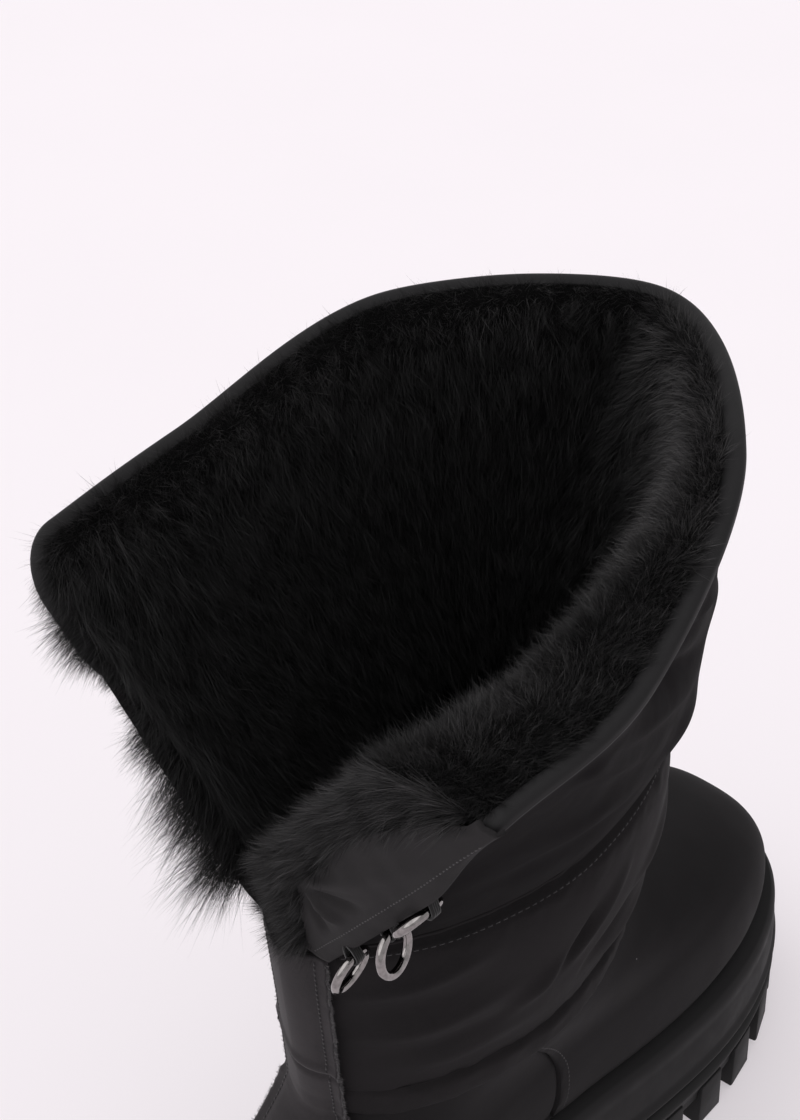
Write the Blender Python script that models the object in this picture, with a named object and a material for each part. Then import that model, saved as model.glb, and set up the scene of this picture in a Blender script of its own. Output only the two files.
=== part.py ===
# Fur-lined platform winter boot with a quilted shaft that opens at the back.
# Tables are in millimetres: x from the heel's back towards the toe, y to the left, z up from the floor.

import math

import bmesh
import bpy
import numpy as np
from mathutils import Vector

# Sizes in millimetres
MM = 0.001
REST_X = 44.0            # the origin lies under the heel, this far from its back
SOLE_LENGTH = 254.0
OUTLINE_END = 0.70       # how bluntly heel and toe close
SEAT_GAP = 0.3           # clearance between pieces that meet
LUG_HEIGHT = 9.0         # tread depth under the outsole plate
ARCH_RISE = 4.0          # lift of the waist off the floor
TOE_SPRING = 14.0        # rise of the tread at the toe's tip
SPRING_FROM = 0.74       # station where it starts
HEEL_BEVEL = 3.0         # rise of the tread at the heel's back
BEVEL_TO = 0.10          # station where it ends
INSOLE_THICK = 5.0
FOOT_WALL = 2.6
VAMP_STEP = 1.0          # the vamp laps over the quarter by this much
SHAFT_WALL = 3.5         # wall at a seam; the baffles add their own padding
FUR_DEPTH = 10.0         # pile of the closed shaft
FUR_ROLL_DROP = 11.0     # how far below the edge the pile is full
SLIT_HALF_DEG = 15.0     # half the width of the slit's base, as an angle round the shaft
RING_RADIUS = 5.85       # ring, centre line of the wire
RING_WIRE = 1.15         # wire radius
TAB_WIDE = 5.0           # fabric tab, across the slit edge
TAB_DEEP = 4.9           # along the edge
TAB_PLY = 1.0            # fabric round the wire
TAB_SEAT = 0.6           # clearance of its flat foot over the curved wall

# Sole outline: station (0 heel, 1 toe), fullness on the right (inner) and left (outer) side
OUTLINE_ROWS = (
    (0.00, 46.0, 42.0),
    (0.14, 45.0, 41.0),
    (0.30, 39.5, 37.5),
    (0.45, 40.0, 40.0),
    (0.60, 45.5, 47.0),
    (0.73, 51.0, 54.0),
    (0.86, 55.0, 58.0),
    (1.00, 57.0, 57.0),
)

# Top of the platform: station, height
DECK_ROWS = ((0.00, 63.0), (0.30, 60.0), (0.50, 57.0), (0.74, 56.0), (0.87, 57.5), (1.00, 62.0))

# Side of the sole: share of its height, how far it stands out past the outline
OUTSOLE_SIDE = ((0.17, 3.0), (0.20, 4.2), (0.30, 4.8), (0.37, 5.6), (0.44, 5.4), (0.46, 3.4))
MIDSOLE_SIDE = ((0.465, 1.6), (0.51, 1.6), (0.53, 4.0), (0.64, 4.2), (0.86, 2.8), (0.98, 1.2), (1.00, 0.2))

# Foot rings: level, heel x, heel z, toe x, toe z, width factor, share of the ankle oval
FOOT_ROWS = (
    (0.00, 9.0, 63.0, 241.0, 62.0, 0.900, 0.00),
    (0.12, 5.5, 68.5, 246.0, 69.0, 0.940, 0.00),
    (0.26, 5.0, 76.0, 246.0, 77.5, 0.945, 0.03),
    (0.40, 7.0, 83.5, 239.0, 86.0, 0.920, 0.10),
    (0.54, 10.0, 90.5, 225.0, 93.0, 0.880, 0.22),
    (0.68, 14.0, 98.0, 204.0, 99.0, 0.860, 0.42),
    (0.80, 17.0, 105.0, 183.0, 105.0, 0.860, 0.65),
    (0.91, 19.0, 111.0, 165.0, 112.0, 0.880, 0.86),
    (1.00, 20.0, 116.0, 152.0, 120.0, 0.920, 1.00),
)

# Shaft rings up to the slit: level, back x and z, front x and z, half width, widest x, back and front power
SHAFT_ROWS = (
    (0.00, 20.0, 116.0, 152.0, 120.0, 37.5, 88.0, 1.75, 2.1),
    (0.50, 15.5, 154.0, 155.0, 160.0, 39.5, 86.0, 1.70, 2.1),
    (1.00, 9.5, 191.0, 156.0, 199.0, 41.0, 84.0, 1.65, 2.1),
)

# Collar's edge: share from the right slit edge (-1) over the front (0) to the left one (1), then x, y, z
RIM_ROWS = (
    (-1.00, -2.6, -70.5, 286.0),
    (-0.66, 44.0, -72.5, 294.0),
    (-0.33, 101.0, -55.0, 318.0),
    (0.00, 149.6, -1.8, 321.0),
    (0.33, 101.0, 51.5, 318.0),
    (0.66, 44.0, 69.5, 294.0),
    (1.00, -5.6, 71.0, 284.0),
)

# Rounding of the flaps' top corners, right and left: as an angle round the shaft, as a share of its height
CORNER_DEG = (3.0, 11.0)
CORNER_DROP = (0.035, 0.12)
SHELL_TOP = 0.985        # share of the baffle's height at the shaft's own top

# Baffles of the closed shaft: lower level, upper level, padding
BAFFLE_ROWS = ((0.00, 0.13, 2.2), (0.13, 1.00, 5.2))
COLLAR_PAD = 5.0         # padding of the open baffle above the slit's base

# Lacing rings along each slit edge: share of the slit's height, plane's normal (right-hand side)
RING_ROWS = (
    (0.15, 0.08, -0.986, -0.17),
    (0.34, 0.16, -0.93, 0.22),
    (0.53, 0.00, -0.83, -0.55),
)
RING_FROM_EDGE = (7.0, 28.0)     # angle from the right and the left edge

COLUMNS = 48


def column(rows, col, q):
    """Smooth curve through one column of a table, read at q."""
    t = np.array([r[0] for r in rows], float)
    v = np.array([r[col] for r in rows], float)
    m = np.gradient(v, t)
    q = np.clip(np.asarray(q, float), t[0], t[-1])
    i = np.clip(np.searchsorted(t, q, side="right") - 1, 0, len(t) - 2)
    h = t[i + 1] - t[i]
    s = (q - t[i]) / h
    a = (1 + 2 * s) * (1 - s) ** 2 * v[i] + s * (1 - s) ** 2 * h * m[i]
    return a + s * s * (3 - 2 * s) * v[i + 1] + s * s * (s - 1) * h * m[i + 1]


def ramp(x, lo, hi):
    t = np.clip((np.asarray(x, float) - lo) / (hi - lo), 0.0, 1.0)
    return t * t * (3 - 2 * t)


def unit(v):
    v = np.asarray(v, float)
    return v / np.linalg.norm(v, axis=-1, keepdims=True)


def angles(n=COLUMNS):
    """n angles round the boot: 0 at the toe, 180 degrees at the heel, positive on the left."""
    return np.radians(-180.0 + 360.0 * np.arange(n) / n)


def outline_y(t, side):
    fullness = column(OUTLINE_ROWS, 1 if side < 0 else 2, t)
    return side * fullness * (2 * np.sqrt(np.clip(t * (1 - t), 0, None))) ** OUTLINE_END


def sole_point(a, out):
    """Plan position on the sole outline, pushed out along its normal."""
    def plan(b):
        t = (1 + np.cos(b)) / 2
        y = np.where(np.sin(b) < 0, outline_y(t, -1), outline_y(t, 1))
        return np.stack([SOLE_LENGTH * t - 2, y], -1)
    p = plan(a)
    tangent = unit(plan(a + 0.03) - plan(a - 0.03))
    return p + np.stack([tangent[..., 1], -tangent[..., 0]], -1) * np.asarray(out)[..., None]


def station(x):
    return np.clip((np.asarray(x, float) + 2) / SOLE_LENGTH, 0.0, 1.0)


def tread_z(x):
    """Underside of the tread: level between the heel's bevel and the toe spring."""
    t = station(x)
    spring = TOE_SPRING * np.clip((t - SPRING_FROM) / (1 - SPRING_FROM), 0, None) ** 2
    return spring + HEEL_BEVEL * np.clip((BEVEL_TO - t) / BEVEL_TO, 0, None) ** 2


def sole_z(x, share):
    t = station(x)
    low = tread_z(x)
    return low + (column(DECK_ROWS, 1, t) - low) * share


def sole_ring(share, out, lift=0.0, n=COLUMNS):
    p = sole_point(angles(n), np.full(n, out))
    return np.column_stack([p, sole_z(p[:, 0], share) + lift])


def oval(a, back, front, half, widest, p_back, p_front):
    c, s = np.cos(a), np.sin(a)
    p = np.where(c > 0, p_front, p_back)
    x = widest + np.where(c > 0, front - widest, widest - back) * np.sign(c) * np.abs(c) ** (2 / p)
    return x, half * np.sign(s) * np.abs(s) ** (2 / p)


def foot_skin(a, level):
    """Outer face of the foot at angle a and level 0 (sole) to 1 (ankle)."""
    hx, hz, tx, tz, width, share = [column(FOOT_ROWS, k, level) for k in range(1, 7)]
    t = (1 + np.cos(a)) / 2
    y0 = np.where(np.sin(a) < 0, outline_y(t, -1), outline_y(t, 1)) * width
    row = SHAFT_ROWS[0]
    x1, y1 = oval(a, row[1], row[3], row[5], row[6], row[7], row[8])
    along = t + ((x1 - row[1]) / (row[3] - row[1]) - t) * share
    x = hx + (tx - hx) * along
    z = hz + (tz - hz) * along
    # the lowest rings follow the deck
    low = 1 - ramp(level, 0.0, 0.45)
    line = FOOT_ROWS[0][2] + (FOOT_ROWS[0][4] - FOOT_ROWS[0][2]) * along
    z = z + low * (column(DECK_ROWS, 1, station(x)) + SEAT_GAP - line)
    return np.stack([x, y0 + (y1 - y0) * share, z], -1)


def foot_point(a, level, inset):
    """Foot surface moved in along its normal."""
    a, level = np.broadcast_arrays(np.asarray(a, float), np.asarray(level, float))
    da = foot_skin(a + 0.02, level) - foot_skin(a - 0.02, level)
    hi, lo = np.clip(level + 0.02, 0, 1), np.clip(level - 0.02, 0, 1)
    dl = foot_skin(a, hi) - foot_skin(a, lo)
    n = unit(np.cross(da, dl))
    return foot_skin(a, level) - n * np.asarray(inset)[..., None]


def shaft_closed(a, level, inset):
    """Shaft below the slit, at its seams; inset moves in, a negative one out."""
    back, zb, front, zf, half, widest, pb, pf = [column(SHAFT_ROWS, k, level) for k in range(1, 9)]
    x, y = oval(a, back + inset, front - inset, half - inset, widest, pb, pf)
    return np.stack([x, y, zb + (zf - zb) * (x - back) / (front - back)], -1)


def rim_point(a, inset):
    """Collar's edge at angle a, moved in level with the floor."""
    lim = math.radians(180 - SLIT_HALF_DEG)

    def edge(b):
        return np.stack([column(RIM_ROWS, k, np.clip(b / lim, -1, 1)) for k in (1, 2, 3)], -1)
    d = unit((edge(np.minimum(a + 0.03, lim)) - edge(np.maximum(a - 0.03, -lim)))[..., :2])
    p = edge(a)
    p[..., 0] -= d[..., 1] * inset
    p[..., 1] += d[..., 0] * inset
    return p


def shaft_open(a, v, inset):
    """Collar baffle above the slit's base: v is 0 at its seam, 1 at the collar's edge."""
    a, v, inset = np.broadcast_arrays(np.asarray(a, float), np.asarray(v, float), np.asarray(inset, float))
    low = shaft_closed(a, np.ones_like(a), inset)
    return low + (rim_point(a, inset) - low) * v[..., None]


def calm_back(a):
    """Padding lies flatter under the backstay and on the left of it."""
    deg = np.degrees(a)
    left = 0.8 * ramp(deg, 92, 132) * (1 - ramp(deg, 150, 172))
    return 1 - np.maximum(0.65 * ramp(np.abs(deg), 128, 160), left)


def padding(a, level):
    out = np.zeros_like(a)
    for lo, hi, pad in BAFFLE_ROWS:
        t = np.clip((level - lo) / (hi - lo), 0, 1)
        out = out + pad * np.clip(1 - np.abs(2 * t - 1) ** 2.3, 0, 1)
    return out * calm_back(a)


def collar_padding(a, v):
    to_edge = (180 - SLIT_HALF_DEG) - np.abs(np.degrees(a))
    flat_edge = 0.35 + 0.65 * ramp(to_edge, 2, 26)
    return COLLAR_PAD * ramp(v, -0.02, 0.16) * (1 - 0.62 * ramp(v, 0.2, 1.0)) * flat_edge


def collar_top(a):
    """Share of the baffle's height at the shaft's own top; the flap corners are rounded."""
    to_edge = (180 - SLIT_HALF_DEG) - np.abs(np.degrees(a))
    wide, drop = [np.where(a < 0, *sides) for sides in (CORNER_DEG, CORNER_DROP)]
    near = np.clip(1 - to_edge / wide, 0, 1)
    return SHELL_TOP - drop * (1 - np.sqrt(1 - near ** 2))


def shaft_outer(a, v):
    p = shaft_open(a, v, -collar_padding(a, v))
    p[..., 2] -= 2.0 * np.exp(-((v - 0.05) / 0.05) ** 2) * (1 - np.exp(-v / 0.01))
    return p


# Mesh helpers

PARTS = None
CUTTERS = None


def start():
    global PARTS, CUTTERS
    for old in list(bpy.data.objects):
        bpy.data.objects.remove(old, do_unlink=True)
    PARTS = bpy.data.collections.new("winter_boot")
    CUTTERS = bpy.data.collections.new("cutters")
    bpy.context.scene.collection.children.link(PARTS)
    bpy.context.scene.collection.children.link(CUTTERS)


def material(name, colour, rough, metal=0.0):
    mat = bpy.data.materials.new(name)
    mat.use_nodes = True
    bsdf = mat.node_tree.nodes["Principled BSDF"]
    bsdf.inputs["Base Color"].default_value = (*colour, 1.0)
    bsdf.inputs["Roughness"].default_value = rough
    bsdf.inputs["Metallic"].default_value = metal
    mat.diffuse_color = (*colour, 1.0)
    return mat


def place(name, bm, mat, collection=None):
    bmesh.ops.recalc_face_normals(bm, faces=bm.faces)
    mesh = bpy.data.meshes.new(name)
    bm.to_mesh(mesh)
    bm.free()
    mesh.shade_smooth()
    mesh.set_sharp_from_angle(angle=math.radians(40))
    mesh.materials.append(mat)
    obj = bpy.data.objects.new(name, mesh)
    (collection or PARTS).objects.link(obj)
    return obj


def add_verts(bm, pts):
    return [bm.verts.new(((x - REST_X) * MM, y * MM, z * MM)) for x, y, z in pts]


def bridge(bm, low, high, wrap=True):
    n = len(low)
    for j in range(n if wrap else n - 1):
        k = (j + 1) % n
        bm.faces.new((low[j], low[k], high[k], high[j]))


def cap(bm, ring):
    """Closes a ring whose points pair off left and right with strips across."""
    n = len(ring)
    bm.faces.new((ring[0], ring[1], ring[n - 1]))
    for j in range(1, n // 2 - 1):
        bm.faces.new((ring[j], ring[j + 1], ring[n - j - 1], ring[n - j]))
    h = n // 2
    bm.faces.new((ring[h - 1], ring[h], ring[h + 1]))


def stack(name, rings, mat, collection=None):
    """Solid between a bottom and a top ring."""
    bm = bmesh.new()
    rows = [add_verts(bm, r) for r in rings]
    for low, high in zip(rows, rows[1:]):
        bridge(bm, low, high)
    cap(bm, rows[0])
    cap(bm, rows[-1])
    return place(name, bm, mat, collection)


def sleeve(name, outer, inner, mat):
    """Hollow solid open at both ends: outer and inner rings, bottom to top."""
    bm = bmesh.new()
    rows = [add_verts(bm, r) for r in outer] + [add_verts(bm, r) for r in reversed(inner)]
    for low, high in zip(rows, rows[1:] + rows[:1]):
        bridge(bm, low, high)
    return place(name, bm, mat)


def split_sleeve(name, closed_out, closed_in, open_out, open_in, first, last, mat):
    """Hollow solid whose upper rows are open between columns last and first."""
    bm = bmesh.new()
    out = [add_verts(bm, r) for r in closed_out]
    inn = [add_verts(bm, r) for r in closed_in]
    for a, b in zip(out, out[1:]):
        bridge(bm, a, b)
    for a, b in zip(inn, inn[1:]):
        bridge(bm, a, b)
    bridge(bm, out[0], inn[0])
    top_out = [out[-1][first:last + 1]] + [add_verts(bm, r) for r in open_out]
    top_in = [inn[-1][first:last + 1]] + [add_verts(bm, r) for r in open_in]
    for rows in (top_out, top_in):
        for a, b in zip(rows, rows[1:]):
            bridge(bm, a, b, wrap=False)
    bridge(bm, top_out[-1], top_in[-1], wrap=False)
    for j in (0, -1):
        for k in range(len(top_out) - 1):
            bm.faces.new((top_out[k][j], top_out[k + 1][j], top_in[k + 1][j], top_in[k][j]))
    n = len(out[-1])
    for j in list(range(last, n)) + list(range(first)):
        k = (j + 1) % n
        bm.faces.new((out[-1][j], out[-1][k], inn[-1][k], inn[-1][j]))
    return place(name, bm, mat)


def strip(name, under, over, mat):
    """Thin panel between two grids of the same size."""
    bm = bmesh.new()
    lo = [add_verts(bm, r) for r in under]
    hi = [add_verts(bm, r) for r in over]
    for rows in (lo, hi):
        for a, b in zip(rows, rows[1:]):
            bridge(bm, a, b, wrap=False)
    for a, b in ((lo[0], hi[0]), (lo[-1], hi[-1])):
        bridge(bm, a, b, wrap=False)
    for j in (0, -1):
        for k in range(len(lo) - 1):
            bm.faces.new((lo[k][j], lo[k + 1][j], hi[k + 1][j], hi[k][j]))
    return place(name, bm, mat)


# Sole

# Tread lugs along each side: station, length along the edge
SIDE_LUGS = ((0.075, 15.0), (0.165, 15.0), (0.255, 15.0), (0.345, 15.0), (0.435, 15.0), (0.525, 15.0),
             (0.615, 15.5), (0.705, 15.5), (0.79, 15.5), (0.87, 15.0), (0.94, 14.0))
# Bars across the middle: station, length along the boot, half width
MIDDLE_LUGS = ((0.18, 26.0, 14.5), (0.56, 15.0, 17.0), (0.655, 15.0, 20.0), (0.75, 15.0, 22.0),
               (0.845, 14.0, 20.0))
LUG_REACH = 17.0         # how far a side lug runs in under the sole
LUG_OUT = 8.0            # how far it stands out at the floor
LUG_TOP = 0.345          # share of the sole's height that it climbs


def arch(x):
    t = station(x)
    return ARCH_RISE * ramp(t, 0.33, 0.40) * (1 - ramp(t, 0.50, 0.57))


def block(bm, corners_low, corners_high):
    lo = add_verts(bm, corners_low)
    hi = add_verts(bm, corners_high)
    bridge(bm, lo, hi)
    bm.faces.new(lo)
    bm.faces.new(hi)


def floor_z(x):
    return float(tread_z(x) + arch(x))


def side_lug(bm, t, length, side):
    a = side * math.acos(2 * t - 1)
    p = sole_point(np.array([a]), np.array([0.0]))[0]
    q = sole_point(np.array([a]), np.array([1.0]))[0]
    n = unit(q - p)
    e = np.array([-n[1], n[0]])
    lo, hi = [], []
    for u, w in ((-0.5, 1), (0.5, 1), (0.5, 0), (-0.5, 0)):
        reach = LUG_OUT if w else -LUG_REACH
        k = length * (0.92 if w else 0.80)
        xy = p + n * reach + e * k * u
        top = p + n * (reach - (1.8 if w else 0)) + e * (k - 1.5) * u
        lo.append((xy[0], xy[1], floor_z(p[0] + e[0] * k * u)))
        hi.append((top[0], top[1], float(sole_z(top[0], LUG_TOP if w else 0.27))))
    block(bm, lo, hi)


def build_sole(rubber, foam, felt):
    rings = [sole_ring(share, out) for share, out in OUTSOLE_SIDE]
    low = sole_ring(OUTSOLE_SIDE[0][0], OUTSOLE_SIDE[0][1] - 2.0)
    low[:, 2] = [floor_z(x) + LUG_HEIGHT for x in low[:, 0]]
    rings[0][:, 2] = low[:, 2] + 1.2
    outsole = stack("outsole", [low] + rings, rubber)
    bm = bmesh.new()
    for t, length in SIDE_LUGS:
        for side in (-1, 1):
            side_lug(bm, t, length, side)
    for t, length, half in MIDDLE_LUGS:
        x = SOLE_LENGTH * t - 2
        lo_x, hi_x = x - length / 2, x + length / 2
        ends = ((lo_x, -half), (hi_x, -half), (hi_x, half), (lo_x, half))
        lo = [(px, py, floor_z(px)) for px, py in ends]
        hi = [(px, py, float(sole_z(px, 0.27))) for px, py in ends]
        block(bm, lo, hi)
    lugs = place("tread_lugs", bm, rubber, CUTTERS)
    lugs.hide_render = True
    lugs.display_type = "WIRE"
    union = outsole.modifiers.new("tread", "BOOLEAN")
    union.operation = "UNION"
    union.object = lugs
    union.solver = "EXACT"
    rings = [sole_ring(share, out) for share, out in MIDSOLE_SIDE]
    rings[0] = sole_ring(*MIDSOLE_SIDE[0], SEAT_GAP)
    stack("midsole", rings, foam)
    inner = foot_point(angles(), np.zeros(COLUMNS), np.full(COLUMNS, FOOT_WALL + 1.0))
    rings = []
    for lift, pull in ((SEAT_GAP, 0.6), (INSOLE_THICK - 1.2, 0.0), (INSOLE_THICK, 1.4)):
        ring = inner.copy()
        mid = np.array([inner[:, 0].mean(), 0.0])
        d = unit(ring[:, :2] - mid)
        ring[:, :2] -= d * pull
        ring[:, 2] = column(DECK_ROWS, 1, station(ring[:, 0])) + lift
        rings.append(ring)
    stack("insole", rings, felt)


# Foot

FOOT_LEVELS = (0.0, 0.06, 0.14, 0.26, 0.40, 0.54, 0.68, 0.80, 0.91, 0.985)
VAMP_DEG = 103.0         # the vamp's edge, as an angle from the toe


def foot_angles():
    deg = np.degrees(angles())
    deg = deg[np.abs(np.abs(deg) - 105.0) > 0.1]
    extra = [s * (VAMP_DEG + k) for s in (-1, 1) for k in (-0.4, 0.4)]
    return np.radians(np.sort(np.concatenate([deg, extra])))


def quarter_inset(a, level):
    """The quarter lies lower than the vamp, down to the sole's edge."""
    return VAMP_STEP * (np.abs(np.degrees(a)) > VAMP_DEG) * ramp(level, -0.01, 0.06)


def build_upper(nubuck):
    a = foot_angles()
    outer, inner = [], []
    for level in FOOT_LEVELS:
        lv = np.full(len(a), level)
        outer.append(foot_point(a, lv, quarter_inset(a, lv)))
        ring = foot_point(a, lv, np.full(len(a), FOOT_WALL))
        if level == 0.0:
            ring[:, 2] = column(DECK_ROWS, 1, station(ring[:, 0])) + SEAT_GAP
            outer[-1][:, 2] = column(DECK_ROWS, 1, station(outer[-1][:, 0])) + SEAT_GAP
        inner.append(ring)
    return sleeve("upper", outer, inner, nubuck)


# Shaft

CLOSED_LEVELS = (0.0, 0.025, 0.105, 0.13, 0.165, 0.28, 0.50, 0.74, 0.92, 0.98, 1.0)
OPEN_SHARES = (0.035, 0.12, 0.30, 0.52, 0.76, 1.0)


def open_columns():
    deg = np.degrees(angles())
    keep = np.where(np.abs(deg) <= 180 - SLIT_HALF_DEG + 0.01)[0]
    return keep[0], keep[-1]


def build_shaft(nylon):
    a = angles()
    first, last = open_columns()
    b = a[first:last + 1]
    c_out = [shaft_closed(a, np.full(COLUMNS, lv), -padding(a, np.full(COLUMNS, lv))) for lv in CLOSED_LEVELS]
    c_in = [shaft_closed(a, np.full(COLUMNS, lv), np.full(COLUMNS, SHAFT_WALL)) for lv in CLOSED_LEVELS]
    o_out = [shaft_outer(b, collar_top(b) * s) for s in OPEN_SHARES]
    o_in = [shaft_open(b, collar_top(b) * s, np.full(len(b), SHAFT_WALL)) for s in OPEN_SHARES]
    return split_sleeve("shaft", c_out, c_in, o_out, o_in, first, last, nylon)


# Binding: section round the collar's edge: inset, height over the shaft's own top
BINDING_SECTION = ((-1.9, 0.35), (-2.4, 1.9), (-1.1, 3.5), (1.2, 3.9), (3.0, 3.1), (3.8, 0.35))


def slit_height(a):
    return np.linalg.norm(shaft_open(a, np.ones_like(a), 0.0) - shaft_open(a, np.zeros_like(a), 0.0), axis=-1)


def build_binding(nylon):
    first, last = open_columns()
    b = angles()[first:last + 1]
    top = collar_top(b)
    tall = slit_height(b)
    rows = [shaft_open(b, top + h / tall, np.full(len(b), i)) for i, h in BINDING_SECTION]
    bm = bmesh.new()
    rows = [add_verts(bm, r) for r in rows]
    for lo, hi in zip(rows, rows[1:] + rows[:1]):
        bridge(bm, lo, hi, wrap=False)
    for j in (0, -1):
        bm.faces.new([r[j] for r in rows])
    return place("collar_binding", bm, nylon)


# Fur: angle, depth of the pile at the collar; the right-hand wall carries a thick roll
FUR_ROWS = ((-165, 31.0), (-150, 29.0), (-128, 25.5), (-105, 22.0), (-90, 19.0), (-70, 16.0), (-45, 13.0),
            (0, 11.0), (90, 10.5), (165, 10.5))
FUR_COLUMNS = 32
FUR_END_DEG = 3.0        # it stops this angle short of the right slit edge, behind the facing
FUR_LEVELS = (0.02, 0.35, 0.7, 1.0)
FUR_SHARES = (0.14, 0.32, 0.55, 0.78, 0.91, 1.0)
# Roll of pile past the facing's inner edge: shares of the slit's height, half thickness and middle
ROLL_SHARES = (0.05, 0.14, 0.24, 0.34, 0.50, 0.68, 0.84)
ROLL_HALF = 5.5
ROLL_MIDDLE = -1.0       # past the slit edge
ROLL_GAP = 0.6           # clearance from the facing
# Facing on the end of the right flap: share of the slit's height, how far in it reaches
FACING_ROWS = ((0.00, 1.0), (0.08, 6.0), (0.166, 12.9), (0.31, 22.3), (0.48, 21.3), (0.60, 22.5),
               (0.712, 19.8), (0.904, 10.8), (1.00, 5.0))
FACING_TOP = 0.97        # share of the baffle's height at its top


def fur_angles():
    edge = 180 - SLIT_HALF_DEG
    slit_base = [172.5, 180.0, 187.5, 195.0]
    return np.radians(np.concatenate([np.linspace(FUR_END_DEG - edge, edge, FUR_COLUMNS), slit_base]))


def fur_depth(a, v, below):
    """Depth of the pile at a share of the baffle's height and a distance below its top."""
    full = FUR_DEPTH + (column(FUR_ROWS, 1, np.degrees(a)) - FUR_DEPTH) * ramp(v, 0.0, 0.24)
    return full * (0.3 + 0.7 * np.sqrt(np.clip(1 - (1 - np.clip(below / FUR_ROLL_DROP, 0, 1)) ** 2, 0, 1)))


def flap_in(a):
    """Level direction into the boot at the collar's edge."""
    return unit(rim_point(a, 1.0) - rim_point(a, 0.0))


def fur_face(a, v, inset, depth):
    """Place at a depth in the pile; on the right flap the depth runs level, straight in from the flap."""
    wall = shaft_open(a, v, inset)
    inward = shaft_open(a, v, inset + depth)
    level = wall + flap_in(a) * depth[..., None]
    return inward + (level - inward) * ramp(-np.degrees(a), 112, 152)[..., None]


def flap_end(share, inward, past):
    """Place on the end of the right flap: inward from the slit edge and past it."""
    inward = np.asarray(inward, float)
    edge = np.full(inward.shape, math.radians(SLIT_HALF_DEG - 180))
    into = flap_in(edge)
    rise = unit(rim_point(edge, 0.0) - shaft_open(edge, 0.0, 0.0))
    out = unit(np.cross(rise, into))
    base = shaft_open(edge, FACING_TOP * share, 0.0)
    return base + into * inward[..., None] + out * np.asarray(past, float)[..., None]


def facing_reach(share):
    return np.interp(share, [r[0] for r in FACING_ROWS], [r[1] for r in FACING_ROWS])


def flap_roll(fur):
    """Pile that swells out past the facing's inner edge."""
    end = np.array([math.radians(FUR_END_DEG + SLIT_HALF_DEG - 180)])
    turn = np.radians(np.arange(0, 360, 45))
    rings = []
    for s in ROLL_SHARES:
        v = np.array([FACING_TOP * s])
        below = (collar_top(end) - v) * slit_height(end)
        inner = float(SHAFT_WALL + fur_depth(end, v, below)[0]) + 3.0
        outer = float(facing_reach(s)) + ROLL_GAP
        half = max((inner - outer) / 2, 3.0)
        rings.append(flap_end(s, outer + half + half * np.cos(turn), ROLL_MIDDLE + ROLL_HALF * np.sin(turn)))
    roll = stack("flap_pile", rings, fur, CUTTERS)
    roll.hide_render = True
    roll.display_type = "WIRE"
    return roll


def locks(n, row):
    """Tufts: some stand deeper than others, in a pattern that shifts from row to row."""
    k = np.arange(n)
    return 1.9 * np.sin(k * 2.4 + row * 1.7) + 1.1 * np.sin(k * 1.1 - row * 2.9)


def build_fur(fur):
    a = fur_angles()
    n = len(a)
    out_gap = SHAFT_WALL + 2.5 * SEAT_GAP
    c_out = [shaft_closed(a, np.full(n, lv), np.full(n, out_gap)) for lv in FUR_LEVELS]
    c_in = []
    for k, lv in enumerate(FUR_LEVELS):
        c_in.append(shaft_closed(a, np.full(n, lv), out_gap + FUR_DEPTH + 0.6 * locks(n, k)))
    b = a[:FUR_COLUMNS]
    m = len(b)
    top = collar_top(b) - 0.012
    tall = slit_height(b)
    o_out, o_in = [], []
    for k, s in enumerate(FUR_SHARES):
        v = top * s
        depth = fur_depth(b, v, (top - v) * tall) + locks(m, k + 4) * (0.4 if s == 1.0 else 1.0)
        outer = shaft_open(b, v, np.full(m, out_gap))
        inner = fur_face(b, v * 0.985, np.full(m, out_gap), np.clip(depth, 2.5, None))
        # locks that hang over the left slit edge
        edge = unit(outer[-1] - outer[-2])
        reach = (3.0 + 3.5 * (k % 2)) * (0.4 if s == 1.0 else 1.0)
        outer[-1] = outer[-1] + edge * reach
        inner[-1] = inner[-1] + edge * (reach + 1.5)
        o_out.append(outer)
        o_in.append(inner)
    lining = split_sleeve("fur_lining", c_out, c_in, o_out, o_in, 0, FUR_COLUMNS - 1, fur)
    union = lining.modifiers.new("flap_pile", "BOOLEAN")
    union.operation = "UNION"
    union.object = flap_roll(fur)
    union.solver = "EXACT"
    return lining


# Facing

FACING_SHARES = (0.04, 0.12, 0.21, 0.31, 0.50, 0.72, 0.98)
FACING_SEAT = 0.45       # clearance past the slit edge
FACING_START = (0.8, -0.5)       # its outer edge at the slit's base and higher up, inward from the slit edge
FACING_FACE = (2.2, 3.4, 3.4, 1.8)     # its face from the shell to the fur, as a distance past the slit edge


def build_facing(nylon):
    n = len(FACING_FACE)
    under, over = [], []
    for s in FACING_SHARES:
        start = FACING_START[0] + (FACING_START[1] - FACING_START[0]) * float(ramp(s, 0.3, 0.8))
        inward = np.linspace(start, float(facing_reach(s)), n)
        under.append(flap_end(s, inward, np.full(n, FACING_SEAT)))
        over.append(flap_end(s, inward, FACING_FACE))
    return strip("facing_right", under, over, nylon)


# Backstay: follows foot and shaft up the back, with a raised edge on both sides

BACKSTAY_COLUMNS = (-157.5, -165.0, -172.5, 180.0, 172.5, 165.0, 157.5)
BACKSTAY_EDGE = (1.7, 2.2, 1.4, 1.4, 1.4, 2.2, 1.7)


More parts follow.
